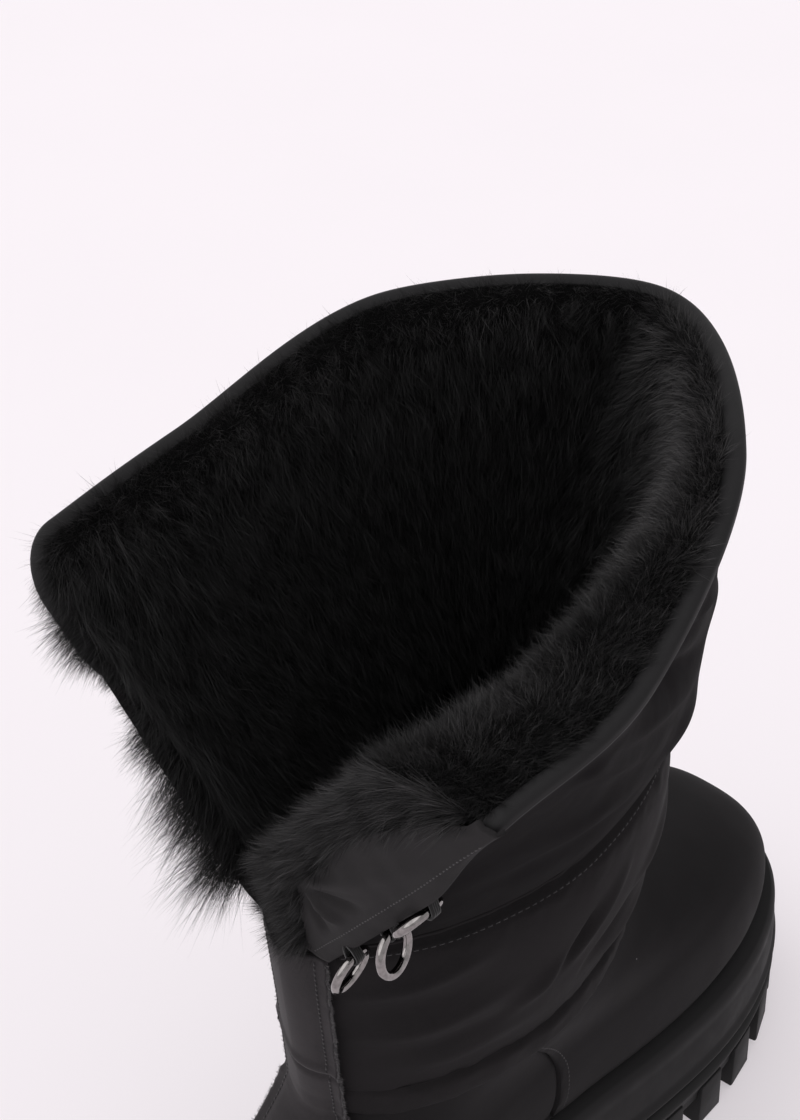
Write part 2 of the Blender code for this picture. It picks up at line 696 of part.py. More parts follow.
def build_backstay(nylon):
    b = np.radians(np.array(BACKSTAY_COLUMNS))
    n = len(b)
    under, over = [], []
    for level in FOOT_LEVELS[1:]:
        lv = np.full(n, level)
        seat = quarter_inset(b, lv) - SEAT_GAP
        under.append(foot_point(b, lv, seat))
        over.append(foot_point(b, lv, seat - np.array(BACKSTAY_EDGE)))
    for level in CLOSED_LEVELS[:-1]:
        lv = np.full(n, level)
        pad = padding(b, lv) + SEAT_GAP
        under.append(shaft_closed(b, lv, -pad))
        over.append(shaft_closed(b, lv, -pad - np.array(BACKSTAY_EDGE)))
    return strip("backstay", under, over, nylon)


# Lacing rings and the fabric tabs that carry them

def torus(bm, centre, normal, major, minor, around=14, across=6):
    n = Vector(normal).normalized()
    u = n.orthogonal().normalized()
    w = n.cross(u)
    rings = []
    for i in range(around):
        t = 2 * math.pi * i / around
        r = u * math.cos(t) + w * math.sin(t)
        pts = []
        for j in range(across):
            s = 2 * math.pi * j / across
            pts.append(Vector(centre) + r * (major + minor * math.cos(s)) + n * minor * math.sin(s))
        rings.append(add_verts(bm, pts))
    for a, b in zip(rings, rings[1:] + rings[:1]):
        bridge(bm, a, b)


def outer_wall(side):
    """Points of the shaft's outer face near a slit edge, with their normals."""
    deg = np.linspace(105, 180 - SLIT_HALF_DEG, 41)
    spans = ((shaft_outer, np.linspace(0.01, 0.75, 61)),
             (lambda a, lv: shaft_closed(a, lv, -padding(a, lv)), np.linspace(0.55, 0.995, 41)))
    pts, nrm = [], []
    for face, rows in spans:
        a, v = [k.ravel() for k in np.meshgrid(side * np.radians(deg), rows)]
        n = np.cross(face(a + 0.01, v) - face(a - 0.01, v), face(a, v + 0.004) - face(a, v - 0.004))
        pts.append(face(a, v))
        nrm.append(unit(n))
    return np.concatenate(pts), np.concatenate(nrm)


def ring_place(side, row, wall):
    """Seat on the wall, its outward normal, the edge's direction, ring centre and normal, distance out."""
    share, nx, ny, nz = row
    from_edge = RING_FROM_EDGE[0 if side < 0 else 1]
    a = np.array([side * math.radians(180 - SLIT_HALF_DEG - from_edge)])
    v = np.array([share])
    seat = shaft_outer(a, v)[0]
    along = unit(shaft_outer(a, v + 0.03)[0] - shaft_outer(a, v - 0.03)[0])
    across = unit(shaft_outer(a - side * 0.04, v)[0] - shaft_outer(a + side * 0.04, v)[0])
    out = unit(np.cross(along, across) * (1 if side > 0 else -1))
    normal = unit(np.array([nx, ny * -side, nz]))
    down = np.array([0.0, 0.0, -1.0])
    hang = unit(down - normal * np.dot(normal, down))
    turn = np.linspace(0, 2 * math.pi, 36, endpoint=False)[:, None]
    circle = RING_RADIUS * (hang * np.cos(turn) + np.cross(normal, hang) * np.sin(turn))
    # the ring moves out until its wire clears the padding that it hangs on
    reach = SEAT_GAP + 1.6
    while reach < 14.0:
        centre = seat + out * reach + hang * RING_RADIUS
        gap = (centre + circle)[:, None, :] - wall[0][None]
        near = np.linalg.norm(gap, axis=-1).argmin(axis=1)
        clear = np.einsum("ij,ij->i", gap[np.arange(len(near)), near], wall[1][near])
        if clear.min() > RING_WIRE + 0.6:
            break
        reach += 0.2
    return seat, out, along, centre, normal, reach


def build_rings(metal, webbing):
    for side, word in ((-1, "right"), (1, "left")):
        wall = outer_wall(side)
        for k, row in enumerate(RING_ROWS):
            seat, out, along, centre, normal, reach = ring_place(side, row, wall)
            tall = reach + RING_WIRE + TAB_PLY - TAB_SEAT
            bm = bmesh.new()
            torus(bm, centre, normal, RING_RADIUS, RING_WIRE)
            place("ring_%s_%d" % (word, k + 1), bm, metal)
            wide = unit(np.cross(out, along))
            mid = seat + out * (TAB_SEAT + tall * 0.5)
            bm = bmesh.new()
            ends = []
            for w in (-0.5, 0.5):
                base = mid + out * tall * w
                k0, k1 = TAB_WIDE * 0.5, TAB_DEEP * 0.5
                corners = ((-1, -1), (1, -1), (1, 1), (-1, 1))
                ends.append([base + wide * p * k0 + along * q * k1 for p, q in corners])
            block(bm, ends[0], ends[1])
            tab = place("tab_%s_%d" % (word, k + 1), bm, webbing)
            bm = bmesh.new()
            torus(bm, centre, normal, RING_RADIUS, RING_WIRE + SEAT_GAP)
            cutter = place("ring_way_%s_%d" % (word, k + 1), bm, metal, CUTTERS)
            cutter.hide_render = True
            cutter.display_type = "WIRE"
            cut = tab.modifiers.new("ring_way", "BOOLEAN")
            cut.operation = "DIFFERENCE"
            cut.object = cutter
            cut.solver = "EXACT"


def main():
    start()
    rubber = material("black_rubber", (0.018, 0.018, 0.019), 0.55)
    foam = material("black_midsole", (0.022, 0.022, 0.023), 0.50)
    felt = material("black_felt", (0.02, 0.02, 0.02), 0.95)
    nubuck = material("black_nubuck", (0.020, 0.019, 0.020), 0.75)
    nylon = material("black_nylon", (0.019, 0.018, 0.019), 0.65)
    fur = material("black_fur", (0.012, 0.012, 0.012), 0.90)
    webbing = material("black_webbing", (0.016, 0.016, 0.017), 0.85)
    metal = material("gunmetal", (0.55, 0.52, 0.51), 0.18, 1.0)
    build_sole(rubber, foam, felt)
    build_upper(nubuck)
    build_shaft(nylon)
    build_binding(nylon)
    build_fur(fur)
    build_facing(nylon)
    build_backstay(nylon)
    build_rings(metal, webbing)


main()
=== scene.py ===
# Looks of the fur-lined winter boot: padded shaft, bound collar, deep fur, rings, foot and platform sole.
# Tables are in millimetres: x from the heel's back towards the toe, y to the left, z up from the floor.
# Angles round the boot are in degrees: 0 at the toe, 180 at the heel, positive on the left.

import math

import bpy
import numpy as np
from mathutils import Matrix, Vector

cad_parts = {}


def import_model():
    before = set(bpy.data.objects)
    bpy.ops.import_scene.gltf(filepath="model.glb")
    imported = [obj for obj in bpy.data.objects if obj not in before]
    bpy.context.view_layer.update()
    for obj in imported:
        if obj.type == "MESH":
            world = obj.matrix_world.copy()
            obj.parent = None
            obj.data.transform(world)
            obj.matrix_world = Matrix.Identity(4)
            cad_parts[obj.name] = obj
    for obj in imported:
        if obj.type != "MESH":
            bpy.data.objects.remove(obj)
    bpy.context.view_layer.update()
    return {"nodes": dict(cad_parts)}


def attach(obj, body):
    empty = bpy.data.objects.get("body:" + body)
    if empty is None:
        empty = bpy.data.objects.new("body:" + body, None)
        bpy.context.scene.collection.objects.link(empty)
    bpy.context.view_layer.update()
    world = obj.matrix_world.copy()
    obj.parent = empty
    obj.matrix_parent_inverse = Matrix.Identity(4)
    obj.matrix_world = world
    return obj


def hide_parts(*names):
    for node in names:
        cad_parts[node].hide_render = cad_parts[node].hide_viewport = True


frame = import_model()
RNG = np.random.default_rng(11)

# Sizes of the boot, as in its solids
MM = 0.001
REST_X = 44.0
SOLE_LENGTH = 254.0
HEEL_X = -2.0            # where the sole's outline begins
OUTLINE_END = 0.70
SEAT_GAP = 0.3           # room between pieces that rest on each other
LUG_HEIGHT = 9.0
ARCH_RISE = 4.0
TOE_SPRING = 14.0
SPRING_FROM = 0.74
HEEL_BEVEL = 3.0
BEVEL_TO = 0.10
INSOLE_THICK = 5.0
FOOT_WALL = 2.6
VAMP_STEP = 1.0          # the vamp laps over the quarter by this much
VAMP_DEG = 103.0         # its edge, as an angle from the toe
SHAFT_WALL = 3.5
SHAFT_MIDDLE = (88.0, 0.0, 150.0)
FOOT_MIDDLE = (120.0, 0.0)
SLIT_EDGE = 165.0        # the slit's edges, as an angle from the toe
RIGHT_END = math.radians(-SLIT_EDGE)
FUR_SEAT = SHAFT_WALL + 0.75     # depth at which the fur is sewn in
SIDES = ((-1, "right"), (1, "left"))
RING_RADIUS = 5.85
RING_WIRE = 1.15
COLLAR_PAD = 6.5         # padding of the collar baffle

# Sole outline: station (0 heel, 1 toe), fullness on the right (inner) and left (outer) side
OUTLINE_ROWS = (
    (0.00, 46.0, 42.0),
    (0.14, 45.0, 41.0),
    (0.30, 39.5, 37.5),
    (0.45, 40.0, 40.0),
    (0.60, 45.5, 47.0),
    (0.73, 51.0, 54.0),
    (0.86, 55.0, 58.0),
    (1.00, 57.0, 57.0),
)
# Top of the platform: station, height
DECK_ROWS = ((0.00, 63.0), (0.30, 60.0), (0.50, 57.0), (0.74, 56.0), (0.87, 57.5), (1.00, 62.0))
# Side of the sole: share of its height, how far it stands out past the outline
OUTSOLE_SIDE = ((0.17, 3.0), (0.20, 4.2), (0.30, 4.8), (0.37, 5.6), (0.44, 5.4), (0.46, 3.4))
MIDSOLE_SIDE = ((0.465, 1.6), (0.51, 1.6), (0.53, 4.0), (0.64, 4.2), (0.86, 2.8), (0.98, 1.2), (1.00, 0.2))
# Foot rings: level, heel x, heel z, toe x, toe z, width factor, share of the ankle oval
FOOT_ROWS = (
    (0.00, 9.0, 63.0, 241.0, 62.0, 0.900, 0.00),
    (0.12, 5.5, 68.5, 246.0, 69.0, 0.940, 0.00),
    (0.26, 5.0, 76.0, 246.0, 77.5, 0.945, 0.03),
    (0.40, 7.0, 83.5, 239.0, 86.0, 0.920, 0.10),
    (0.54, 10.0, 90.5, 225.0, 93.0, 0.880, 0.22),
    (0.68, 14.0, 98.0, 204.0, 99.0, 0.860, 0.42),
    (0.80, 17.0, 105.0, 183.0, 105.0, 0.860, 0.65),
    (0.91, 19.0, 111.0, 165.0, 112.0, 0.880, 0.86),
    (1.00, 20.0, 116.0, 152.0, 120.0, 0.920, 1.00),
)
# Shaft rings up to the slit: level, back x and z, front x and z, half width, widest x, back and front power
SHAFT_ROWS = (
    (0.00, 20.0, 116.0, 152.0, 120.0, 37.5, 88.0, 1.75, 2.1),
    (0.50, 15.5, 154.0, 155.0, 160.0, 39.5, 86.0, 1.70, 2.1),
    (1.00, 9.5, 191.0, 156.0, 199.0, 41.0, 84.0, 1.65, 2.1),
)
# Collar's edge: share from the right slit edge (-1) over the front (0) to the left one (1), then x, y, z
RIM_ROWS = (
    (-1.00, -2.6, -70.5, 286.0),
    (-0.66, 44.0, -72.5, 294.0),
    (-0.33, 101.0, -55.0, 318.0),
    (0.00, 149.6, -1.8, 321.0),
    (0.33, 101.0, 51.5, 318.0),
    (0.66, 44.0, 69.5, 294.0),
    (1.00, -5.6, 71.0, 284.0),
)
ANKLE_SEAM = 0.13        # level of the seam over the ankle
SEAM_STITCH = 0.945      # level of the stitches under the collar baffle
SEAM_GROOVE = 0.970      # level of the groove there
# Baffles of the closed shaft: lower level, upper level, padding
BAFFLE_ROWS = ((0.00, ANKLE_SEAM, 2.8), (ANKLE_SEAM, 1.00, 5.2))
LOWER_TALL = 75.0        # height of the closed shaft, near enough
# Facing on the end of the right flap: share of the slit's height, how far in it reaches
FACING_ROWS = ((0.00, 0.6), (0.08, 4.5), (0.166, 10.0), (0.31, 18.0), (0.48, 18.0), (0.60, 20.0),
               (0.712, 18.5), (0.904, 10.8), (1.00, 5.0))
FACING_TOP = 0.97        # share of the baffle's height at its top
PELT_THIN = 5.0
# Pelt under the hair: angle, its depth; the right-hand wall carries a thick roll
PELT_ROWS = ((-165, 25.0), (-150, 23.5), (-128, 21.5), (-105, 19.0), (-90, 15.5), (-70, 10.5), (-45, 7.0),
             (0, PELT_THIN), (90, PELT_THIN), (165, PELT_THIN))
ROLL_DROP = 11.0         # how far below the edge the roll is full
BAFFLE_TALL = 105.0      # height of the collar baffle along its slope, near enough
MM_A_DEGREE = 1.15       # and its length round the boot for each degree
# Binding round the collar's edge: inset, height over the shaft's own top
BINDING_SECTION = ((-0.6, 0.3), (-1.0, 1.3), (-0.5, 2.4), (0.9, 2.8), (2.6, 2.3), (3.9, 1.2), (4.3, 0.3))
BINDING_HEART = np.array([1.0, 1.6])     # middle of that section
CORNER_DEG = (3.0, 11.0)         # rounding of the right and left flap's top corner, round the shaft
CORNER_DROP = (0.035, 0.12)      # and as a share of the height
BINDING_END = 0.68               # where the binding ends, down the left slit edge
SHELL_TOP = 0.985        # share of the baffle's height at the shaft's own top
# Folds of the padding: angle, level, half length as an angle, rise of the line over 10 degrees, half width as
# a level, height in mm (a trough is negative)
LOWER_FOLDS = (
    (-140, 0.78, 24, 0.030, 0.045, 0.9),
    (-140, 0.66, 22, 0.022, 0.050, -0.7),
    (-137, 0.53, 27, 0.022, 0.050, 1.0),
    (-132, 0.41, 24, 0.020, 0.050, -0.7),
    (-128, 0.29, 26, 0.015, 0.050, 0.5),
    (-97, 0.60, 10, 0.130, 0.040, -1.4),
    (-105, 0.52, 13, 0.080, 0.050, 1.0),
    (-87, 0.66, 12, 0.110, 0.050, 0.9),
    (-78, 0.44, 16, 0.040, 0.045, -1.0),
    (-70, 0.33, 18, 0.020, 0.050, 0.8),
    (-56, 0.60, 18, 0.060, 0.050, 0.8),
    (-44, 0.50, 18, 0.040, 0.045, -0.9),
    (-20, 0.42, 26, 0.010, 0.050, 0.8),
    (-8, 0.62, 24, -0.010, 0.045, -0.8),
    (14, 0.33, 26, -0.012, 0.045, -0.9),
    (24, 0.72, 24, -0.030, 0.050, 0.8),
    (48, 0.52, 20, -0.045, 0.050, 0.9),
    (62, 0.62, 16, -0.080, 0.045, -1.0),
    (84, 0.40, 18, -0.060, 0.050, 0.9),
    (98, 0.62, 12, -0.110, 0.042, -1.2),
    (112, 0.47, 22, -0.030, 0.050, 0.9),
    (132, 0.70, 26, -0.025, 0.048, 0.9),
    (136, 0.57, 24, -0.022, 0.048, -0.7),
    (140, 0.36, 24, -0.018, 0.050, 0.8),
)
COLLAR_FOLDS = (
    (-116, 0.77, 40, -0.100, 0.055, 1.2),
    (-97, 0.71, 36, -0.082, 0.050, 1.0),
    (-92, 0.79, 26, -0.095, 0.040, -1.5),
    (-82, 0.89, 22, -0.100, 0.045, 0.9),
    (-86, 0.86, 20, -0.090, 0.026, -0.7),
    (-112, 0.48, 30, -0.045, 0.065, 0.9),
    (-118, 0.36, 30, -0.030, 0.060, -0.8),
    (-70, 0.30, 26, -0.040, 0.060, 0.8),
    (-50, 0.62, 22, -0.060, 0.050, -1.0),
    (-36, 0.48, 26, -0.040, 0.060, 1.0),
    (-6, 0.70, 26, 0.010, 0.060, 0.9),
    (6, 0.52, 30, 0.012, 0.055, -1.0),
    (20, 0.34, 28, 0.020, 0.060, 0.9),
    (44, 0.74, 24, 0.050, 0.050, -1.1),
    (58, 0.58, 28, 0.060, 0.055, 1.0),
    (86, 0.78, 28, 0.085, 0.048, 1.1),
    (92, 0.66, 26, 0.080, 0.042, -1.3),
    (108, 0.50, 32, 0.060, 0.060, 1.0),
    (130, 0.74, 26, 0.060, 0.055, 0.9),
    (134, 0.34, 26, 0.030, 0.060, -0.8),
)
# Swells of the fur's depth, in the same columns as the folds
FUR_SWELLS = (
    (-3, 0.72, 30, -0.140, 0.110, 4.0),
    (12, 0.86, 18, -0.060, 0.080, -3.0),
    (-36, 0.74, 20, -0.050, 0.100, -2.5),
    (-84, 0.86, 44, -0.020, 0.120, 2.5),
    (-140, 0.70, 26, 0.000, 0.200, 3.0),
    (60, 0.80, 40, 0.020, 0.090, 2.0),
    (96, 0.58, 40, 0.030, 0.100, -2.0),
    (130, 0.78, 30, 0.020, 0.120, 2.5),
)


# Curves and surfaces

def column(rows, col, q):
    """Smooth curve through one column of a table, read at q."""
    t = np.array([r[0] for r in rows], float)
    v = np.array([r[col] for r in rows], float)
    m = np.gradient(v, t)
    q = np.clip(np.asarray(q, float), t[0], t[-1])
    i = np.clip(np.searchsorted(t, q, side="right") - 1, 0, len(t) - 2)
    h = t[i + 1] - t[i]
    s = (q - t[i]) / h
    a = (1 + 2 * s) * (1 - s) ** 2 * v[i] + s * (1 - s) ** 2 * h * m[i]
    return a + s * s * (3 - 2 * s) * v[i + 1] + s * s * (s - 1) * h * m[i + 1]


def columns(rows, q):
    """All columns of a table but the first, read at q."""
    return [column(rows, k, q) for k in range(1, len(rows[0]))]


def ramp(x, lo, hi):
    """Smooth step from 0 at lo to 1 at hi."""
    t = np.clip((np.asarray(x, float) - lo) / (hi - lo), 0.0, 1.0)
    return t * t * (3 - 2 * t)


def unit(v):
    v = np.asarray(v, float)
    return v / np.maximum(np.linalg.norm(v, axis=-1, keepdims=True), 1e-9)


def scramble(x):
    """A share from 0 to 1 that jumps about from number to number, the same each run."""
    h = np.sin(x) * 43758.5453
    return h - np.floor(h)


def lumps(p, size, seed):
    """Smooth uneven height over points, from -1 to 1, with lumps of the given size in mm."""
    q = np.asarray(p, float) / size + 500.0
    cell = np.floor(q)
    f = q - cell
    f = f * f * (3 - 2 * f)
    total = np.zeros(q.shape[:-1])
    for corner in np.ndindex(2, 2, 2):
        c = cell + corner
        weight = np.prod(np.where(np.array(corner) == 1, f, 1 - f), axis=-1)
        total += weight * scramble(c[..., 0] * 127.1 + c[..., 1] * 311.7 + c[..., 2] * 74.7 + seed * 53.3)
    return 2 * total - 1


def hump(x, middle, wide):
    """Bell curve of height 1."""
    return np.exp(-((x - middle) / wide) ** 2)


def folds(rows, deg, level):
    """Height of the listed folds at an angle and level."""
    out = np.zeros_like(deg)
    for mid, height, reach, rise, wide, depth in rows:
        d = (deg - mid + 180) % 360 - 180
        line = height + rise * d / 10
        out = out + depth * hump(level, line, wide) * np.clip(1 - (d / reach) ** 2, 0, 1) ** 1.5
    return out


def outline(a):
    """Station and y of the sole's outline at angle a."""
    t = (1 + np.cos(a)) / 2
    right, left = columns(OUTLINE_ROWS, t)
    round_ends = (2 * np.sqrt(np.clip(t * (1 - t), 0, None))) ** OUTLINE_END
    return t, np.where(np.sin(a) < 0, -right, left) * round_ends


def sole_point(a, out):
    """Plan position on the sole outline, pushed out along its normal."""
    def plan(b):
        t, y = outline(b)
        return np.stack([SOLE_LENGTH * t + HEEL_X, y], -1)
    p = plan(a)
    tangent = unit(plan(a + 0.03) - plan(a - 0.03))
    return p + np.stack([tangent[..., 1], -tangent[..., 0]], -1) * np.asarray(out)[..., None]


def station(x):
    return np.clip((np.asarray(x, float) - HEEL_X) / SOLE_LENGTH, 0.0, 1.0)


def tread_z(x):
    t = station(x)
    spring = TOE_SPRING * np.clip((t - SPRING_FROM) / (1 - SPRING_FROM), 0, None) ** 2
    return spring + HEEL_BEVEL * np.clip((BEVEL_TO - t) / BEVEL_TO, 0, None) ** 2


def floor_z(x):
    """Tread face, with the waist lifted off the floor."""
    t = station(x)
    return tread_z(x) + ARCH_RISE * ramp(t, 0.33, 0.40) * (1 - ramp(t, 0.50, 0.57))


def deck_z(x):
    return column(DECK_ROWS, 1, station(x))


def sole_z(x, share):
    """Height at a share of the sole's side, from its tread to the deck."""
    low = tread_z(x)
    return low + (deck_z(x) - low) * share


def oval(a, back, front, half, widest, p_back, p_front):
    """Plan of the shaft at angle a, with its own fullness at the back and the front."""
    c, s = np.cos(a), np.sin(a)
    p = np.where(c > 0, p_front, p_back)
    x = widest + np.where(c > 0, front - widest, widest - back) * np.sign(c) * np.abs(c) ** (2 / p)
    return x, half * np.sign(s) * np.abs(s) ** (2 / p)


def foot_skin(a, level):
    """Outer face of the foot at angle a and level 0 (sole) to 1 (ankle)."""
    hx, hz, tx, tz, width, share = columns(FOOT_ROWS, level)
    t, y0 = outline(a)
    y0 = y0 * width
    back, front = SHAFT_ROWS[0][1], SHAFT_ROWS[0][3]
    x1, y1 = oval(a, back, front, *SHAFT_ROWS[0][5:])
    along = t + ((x1 - back) / (front - back) - t) * share
    x = hx + (tx - hx) * along
    z = hz + (tz - hz) * along
    low = 1 - ramp(level, 0.0, 0.45)
    line = FOOT_ROWS[0][2] + (FOOT_ROWS[0][4] - FOOT_ROWS[0][2]) * along
    z = z + low * (deck_z(x) + SEAT_GAP - line)
    return np.stack([x, y0 + (y1 - y0) * share, z], -1)


def foot_point(a, level, inset):
    """Foot surface moved in along its normal."""
    a, level = np.broadcast_arrays(np.asarray(a, float), np.asarray(level, float))
    da = foot_skin(a + 0.02, level) - foot_skin(a - 0.02, level)
    hi, lo = np.clip(level + 0.02, 0, 1), np.clip(level - 0.02, 0, 1)
    dl = foot_skin(a, hi) - foot_skin(a, lo)
    n = unit(np.cross(da, dl))
    return foot_skin(a, level) - n * np.asarray(inset)[..., None]


def shaft_closed(a, level, inset):
    """Shaft below the slit, at its seams; inset moves in, a negative one out."""
    back, zb, front, zf, half, widest, pb, pf = columns(SHAFT_ROWS, level)
    x, y = oval(a, back + inset, front - inset, half - inset, widest, pb, pf)
    return np.stack([x, y, zb + (zf - zb) * (x - back) / (front - back)], -1)


def rim_point(a, inset):
    """Collar's edge at angle a, moved in level with the floor."""
    lim = math.radians(SLIT_EDGE)

    def edge(b):
        return np.stack(columns(RIM_ROWS, np.clip(b / lim, -1, 1)), -1)
    d = unit((edge(np.minimum(a + 0.03, lim)) - edge(np.maximum(a - 0.03, -lim)))[..., :2])
    p = edge(a)
    p[..., 0] -= d[..., 1] * inset
    p[..., 1] += d[..., 0] * inset
    return p


def shaft_open(a, v, inset):
    """Collar baffle above the slit's base: v is 0 at its seam, 1 at the collar's edge."""
    a, v, inset = np.broadcast_arrays(np.asarray(a, float), np.asarray(v, float), np.asarray(inset, float))
    low = shaft_closed(a, np.ones_like(a), inset)
    return low + (rim_point(a, inset) - low) * v[..., None]


def calm_back(deg):
    """Padding lies flatter under the backstay and on the left of it."""
    left = 0.8 * ramp(deg, 92, 132) * (1 - ramp(deg, 150, 172))
    return 1 - np.maximum(0.65 * ramp(np.abs(deg), 128, 160), left)


def collar_top(deg):
    """Share of the baffle's height at the shaft's own top; the flap corners are rounded."""
    wide = np.where(deg < 0, CORNER_DEG[0], CORNER_DEG[1])
    drop = np.where(deg < 0, CORNER_DROP[0], CORNER_DROP[1])
    near = np.clip(1 - (SLIT_EDGE - np.abs(deg)) / wide, 0, 1)
    return SHELL_TOP - drop * (1 - np.sqrt(1 - near ** 2))


def puckers(p, away, reach, seed):
    """Small ripples that a seam draws into the cloth, fading with the distance from it in mm."""
    return (0.45 * lumps(p, 4.5, seed) + 0.25 * lumps(p, 2.2, seed + 1)) * hump(away, 0.0, reach)


def lower_face(a, level):
    """Padded outer face of the closed shaft: two baffles that sag over their lower seams."""
    deg = np.degrees(a)
    skin = shaft_closed(a, level, 0.0)
    pad = np.zeros_like(a)
    for lo, hi, thick in BAFFLE_ROWS:
        t = np.clip((level - lo) / (hi - lo), 0, 1)
        pad = pad + thick * np.clip(1 - np.abs(2 * t - 1) ** np.where(t > 0.5, 4.5, 2.3), 0, 1)
    pad = pad * calm_back(deg) - 0.5 * hump(level, SEAM_STITCH, 0.010)
    pad = pad - 3.0 * hump(level, SEAM_GROOVE, 0.011) * (1 - ramp(np.abs(deg), 150, 164))
    pad = pad - 1.5 * ramp(deg, 95, 130) * (1 - ramp(deg, 165, 180)) * (1 - ramp(level, 0.9, 1.0))
    full = ramp(level, ANKLE_SEAM, 0.30) * (1 - ramp(level, 0.90, 1.0))
    calm = 1 - 0.8 * ramp(np.abs(deg), 152, 164)
    pad = pad + (2.0 * folds(LOWER_FOLDS, deg, level) + 0.5 * lumps(skin, 19, 4)) * full * calm
    for seam in (0.0, ANKLE_SEAM, SEAM_STITCH):
        drawn = puckers(skin, (level - seam) * LOWER_TALL, 5.0, 9)
        pad = pad + drawn * ramp(np.abs(level - seam), 0.0, 0.02) * calm
    p = shaft_closed(a, level, -pad)
    sag = 2.4 * hump(level, 0.17, 0.04) * ramp(level, ANKLE_SEAM, 0.155)
    sag = sag + 3.0 * hump(level, 0.03, 0.04) * ramp(level, 0.0, 0.025)
    p[..., 2] -= sag * calm
    return p


def collar_face(a, share):
    """Padded outer face of the collar baffle; share is 0 at its seam, 1 at its own top."""
    deg = np.degrees(a)
    v = collar_top(deg) * share
    skin = shaft_open(a, v, 0.0)
    flat_edge = 0.35 + 0.65 * ramp(SLIT_EDGE - np.abs(deg), 2, 26)
    pad = COLLAR_PAD * (1 - np.exp(-v / 0.17)) * (1 - 0.92 * ramp(v, 0.15, 0.97)) * flat_edge
    pad = pad - 1.8 * np.exp(-v / 0.015)
    calm = ramp(SLIT_EDGE - np.abs(deg), 3, 20) * ramp(v, 0.05, 0.25) * (1 - ramp(v, 0.88, 0.975))
    pad = pad + (2.1 * folds(COLLAR_FOLDS, deg, v) + 0.5 * lumps(skin, 21, 6)) * calm
    pad = pad + puckers(skin, v * BAFFLE_TALL, 6.0, 13) * ramp(v, 0.0, 0.03)
    return shaft_open(a, v, -pad)


def collar_inside(a, share):
    """Inner face of the collar baffle's wall."""
    return shaft_open(a, collar_top(np.degrees(a)) * share, SHAFT_WALL)


# Mesh making

def world(p):
    """Millimetres from the heel's back to metres in the boot's frame."""
    return (np.asarray(p, float) - (REST_X, 0.0, 0.0)) * MM


def clear_selection():
    bpy.ops.object.select_all(action="DESELECT")


def pick(obj):
    """Makes one piece the selected and active one."""
    clear_selection()
    bpy.context.view_layer.objects.active = obj
    obj.select_set(True)


def grid_piece(name, across, along, place):
    """Grid of across by along cells, with each point moved to where place(column, row) puts it."""
    clear_selection()
    bpy.ops.mesh.primitive_grid_add(x_subdivisions=across, y_subdivisions=along, size=1.0)
    obj = bpy.context.object
    obj.name = name
    obj.data.name = name
    co = np.empty(len(obj.data.vertices) * 3)
    obj.data.vertices.foreach_get("co", co)
    co = co.reshape(-1, 3) + 0.5
    i = np.rint(co[:, 0] * across).astype(int)
    j = np.rint(co[:, 1] * along).astype(int)
    obj.data.vertices.foreach_set("co", world(place(i, j)).ravel())
    obj.data.update()
    return obj


def weld(obj, gap=0.00001):
    """Closes the seams of a piece and turns its faces outward."""
    pick(obj)
    bpy.ops.object.mode_set(mode="EDIT")
    bpy.ops.mesh.select_all(action="SELECT")
    bpy.ops.mesh.remove_doubles(threshold=gap)
    bpy.ops.mesh.normals_make_consistent(inside=False)
    bpy.ops.object.mode_set(mode="OBJECT")
    bpy.ops.object.shade_smooth()
    return obj


def thicken(obj, thick):
    """Gives a sheet its thickness, half to either side."""
    pick(obj)
    wall = obj.modifiers.new("cloth", "SOLIDIFY")
    wall.thickness = thick * MM
    wall.offset = 0.0
    bpy.ops.object.modifier_apply(modifier=wall.name)
    weld(obj)


def dress(obj, finish, slot, *nodes):
    """Gives a piece its finish and its place on the boot."""
    obj.data.materials.clear()
    obj.data.materials.append(finish)
    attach(obj, "root")
    if nodes:
        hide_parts(*nodes)


def wall_rows(outer, inner):
    """Rows up the outside of a wall, down its inside and back to the start."""
    rows = np.concatenate([outer, inner[::-1], outer[:1]])
    inside = np.concatenate([np.zeros(len(outer), bool), np.ones(len(inner), bool), [False]])
    return rows, inside


def tube(name, deg, outer, inner, out_face, in_face):
    """Wall that runs all the way round."""
    rows, inside = wall_rows(outer, inner)

    def place(i, j):
        a = np.radians(deg[i])
        return np.where(inside[j][:, None], in_face(a, rows[j]), out_face(a, rows[j]))
    return weld(grid_piece(name, len(deg) - 1, len(rows) - 1, place))


def collar_columns(first, last, step):
    """Angles round the collar, closer together at the flaps' corners."""
    near = np.array([0.0, 0.04, 0.12, 0.25, 0.45, 0.7, 1.0, 1.4, 1.9, 2.5, 3.2])
    middle = np.arange(first + 4.0, last - 3.99, step)
    return np.concatenate([first + near, middle, (last - near)[::-1]])


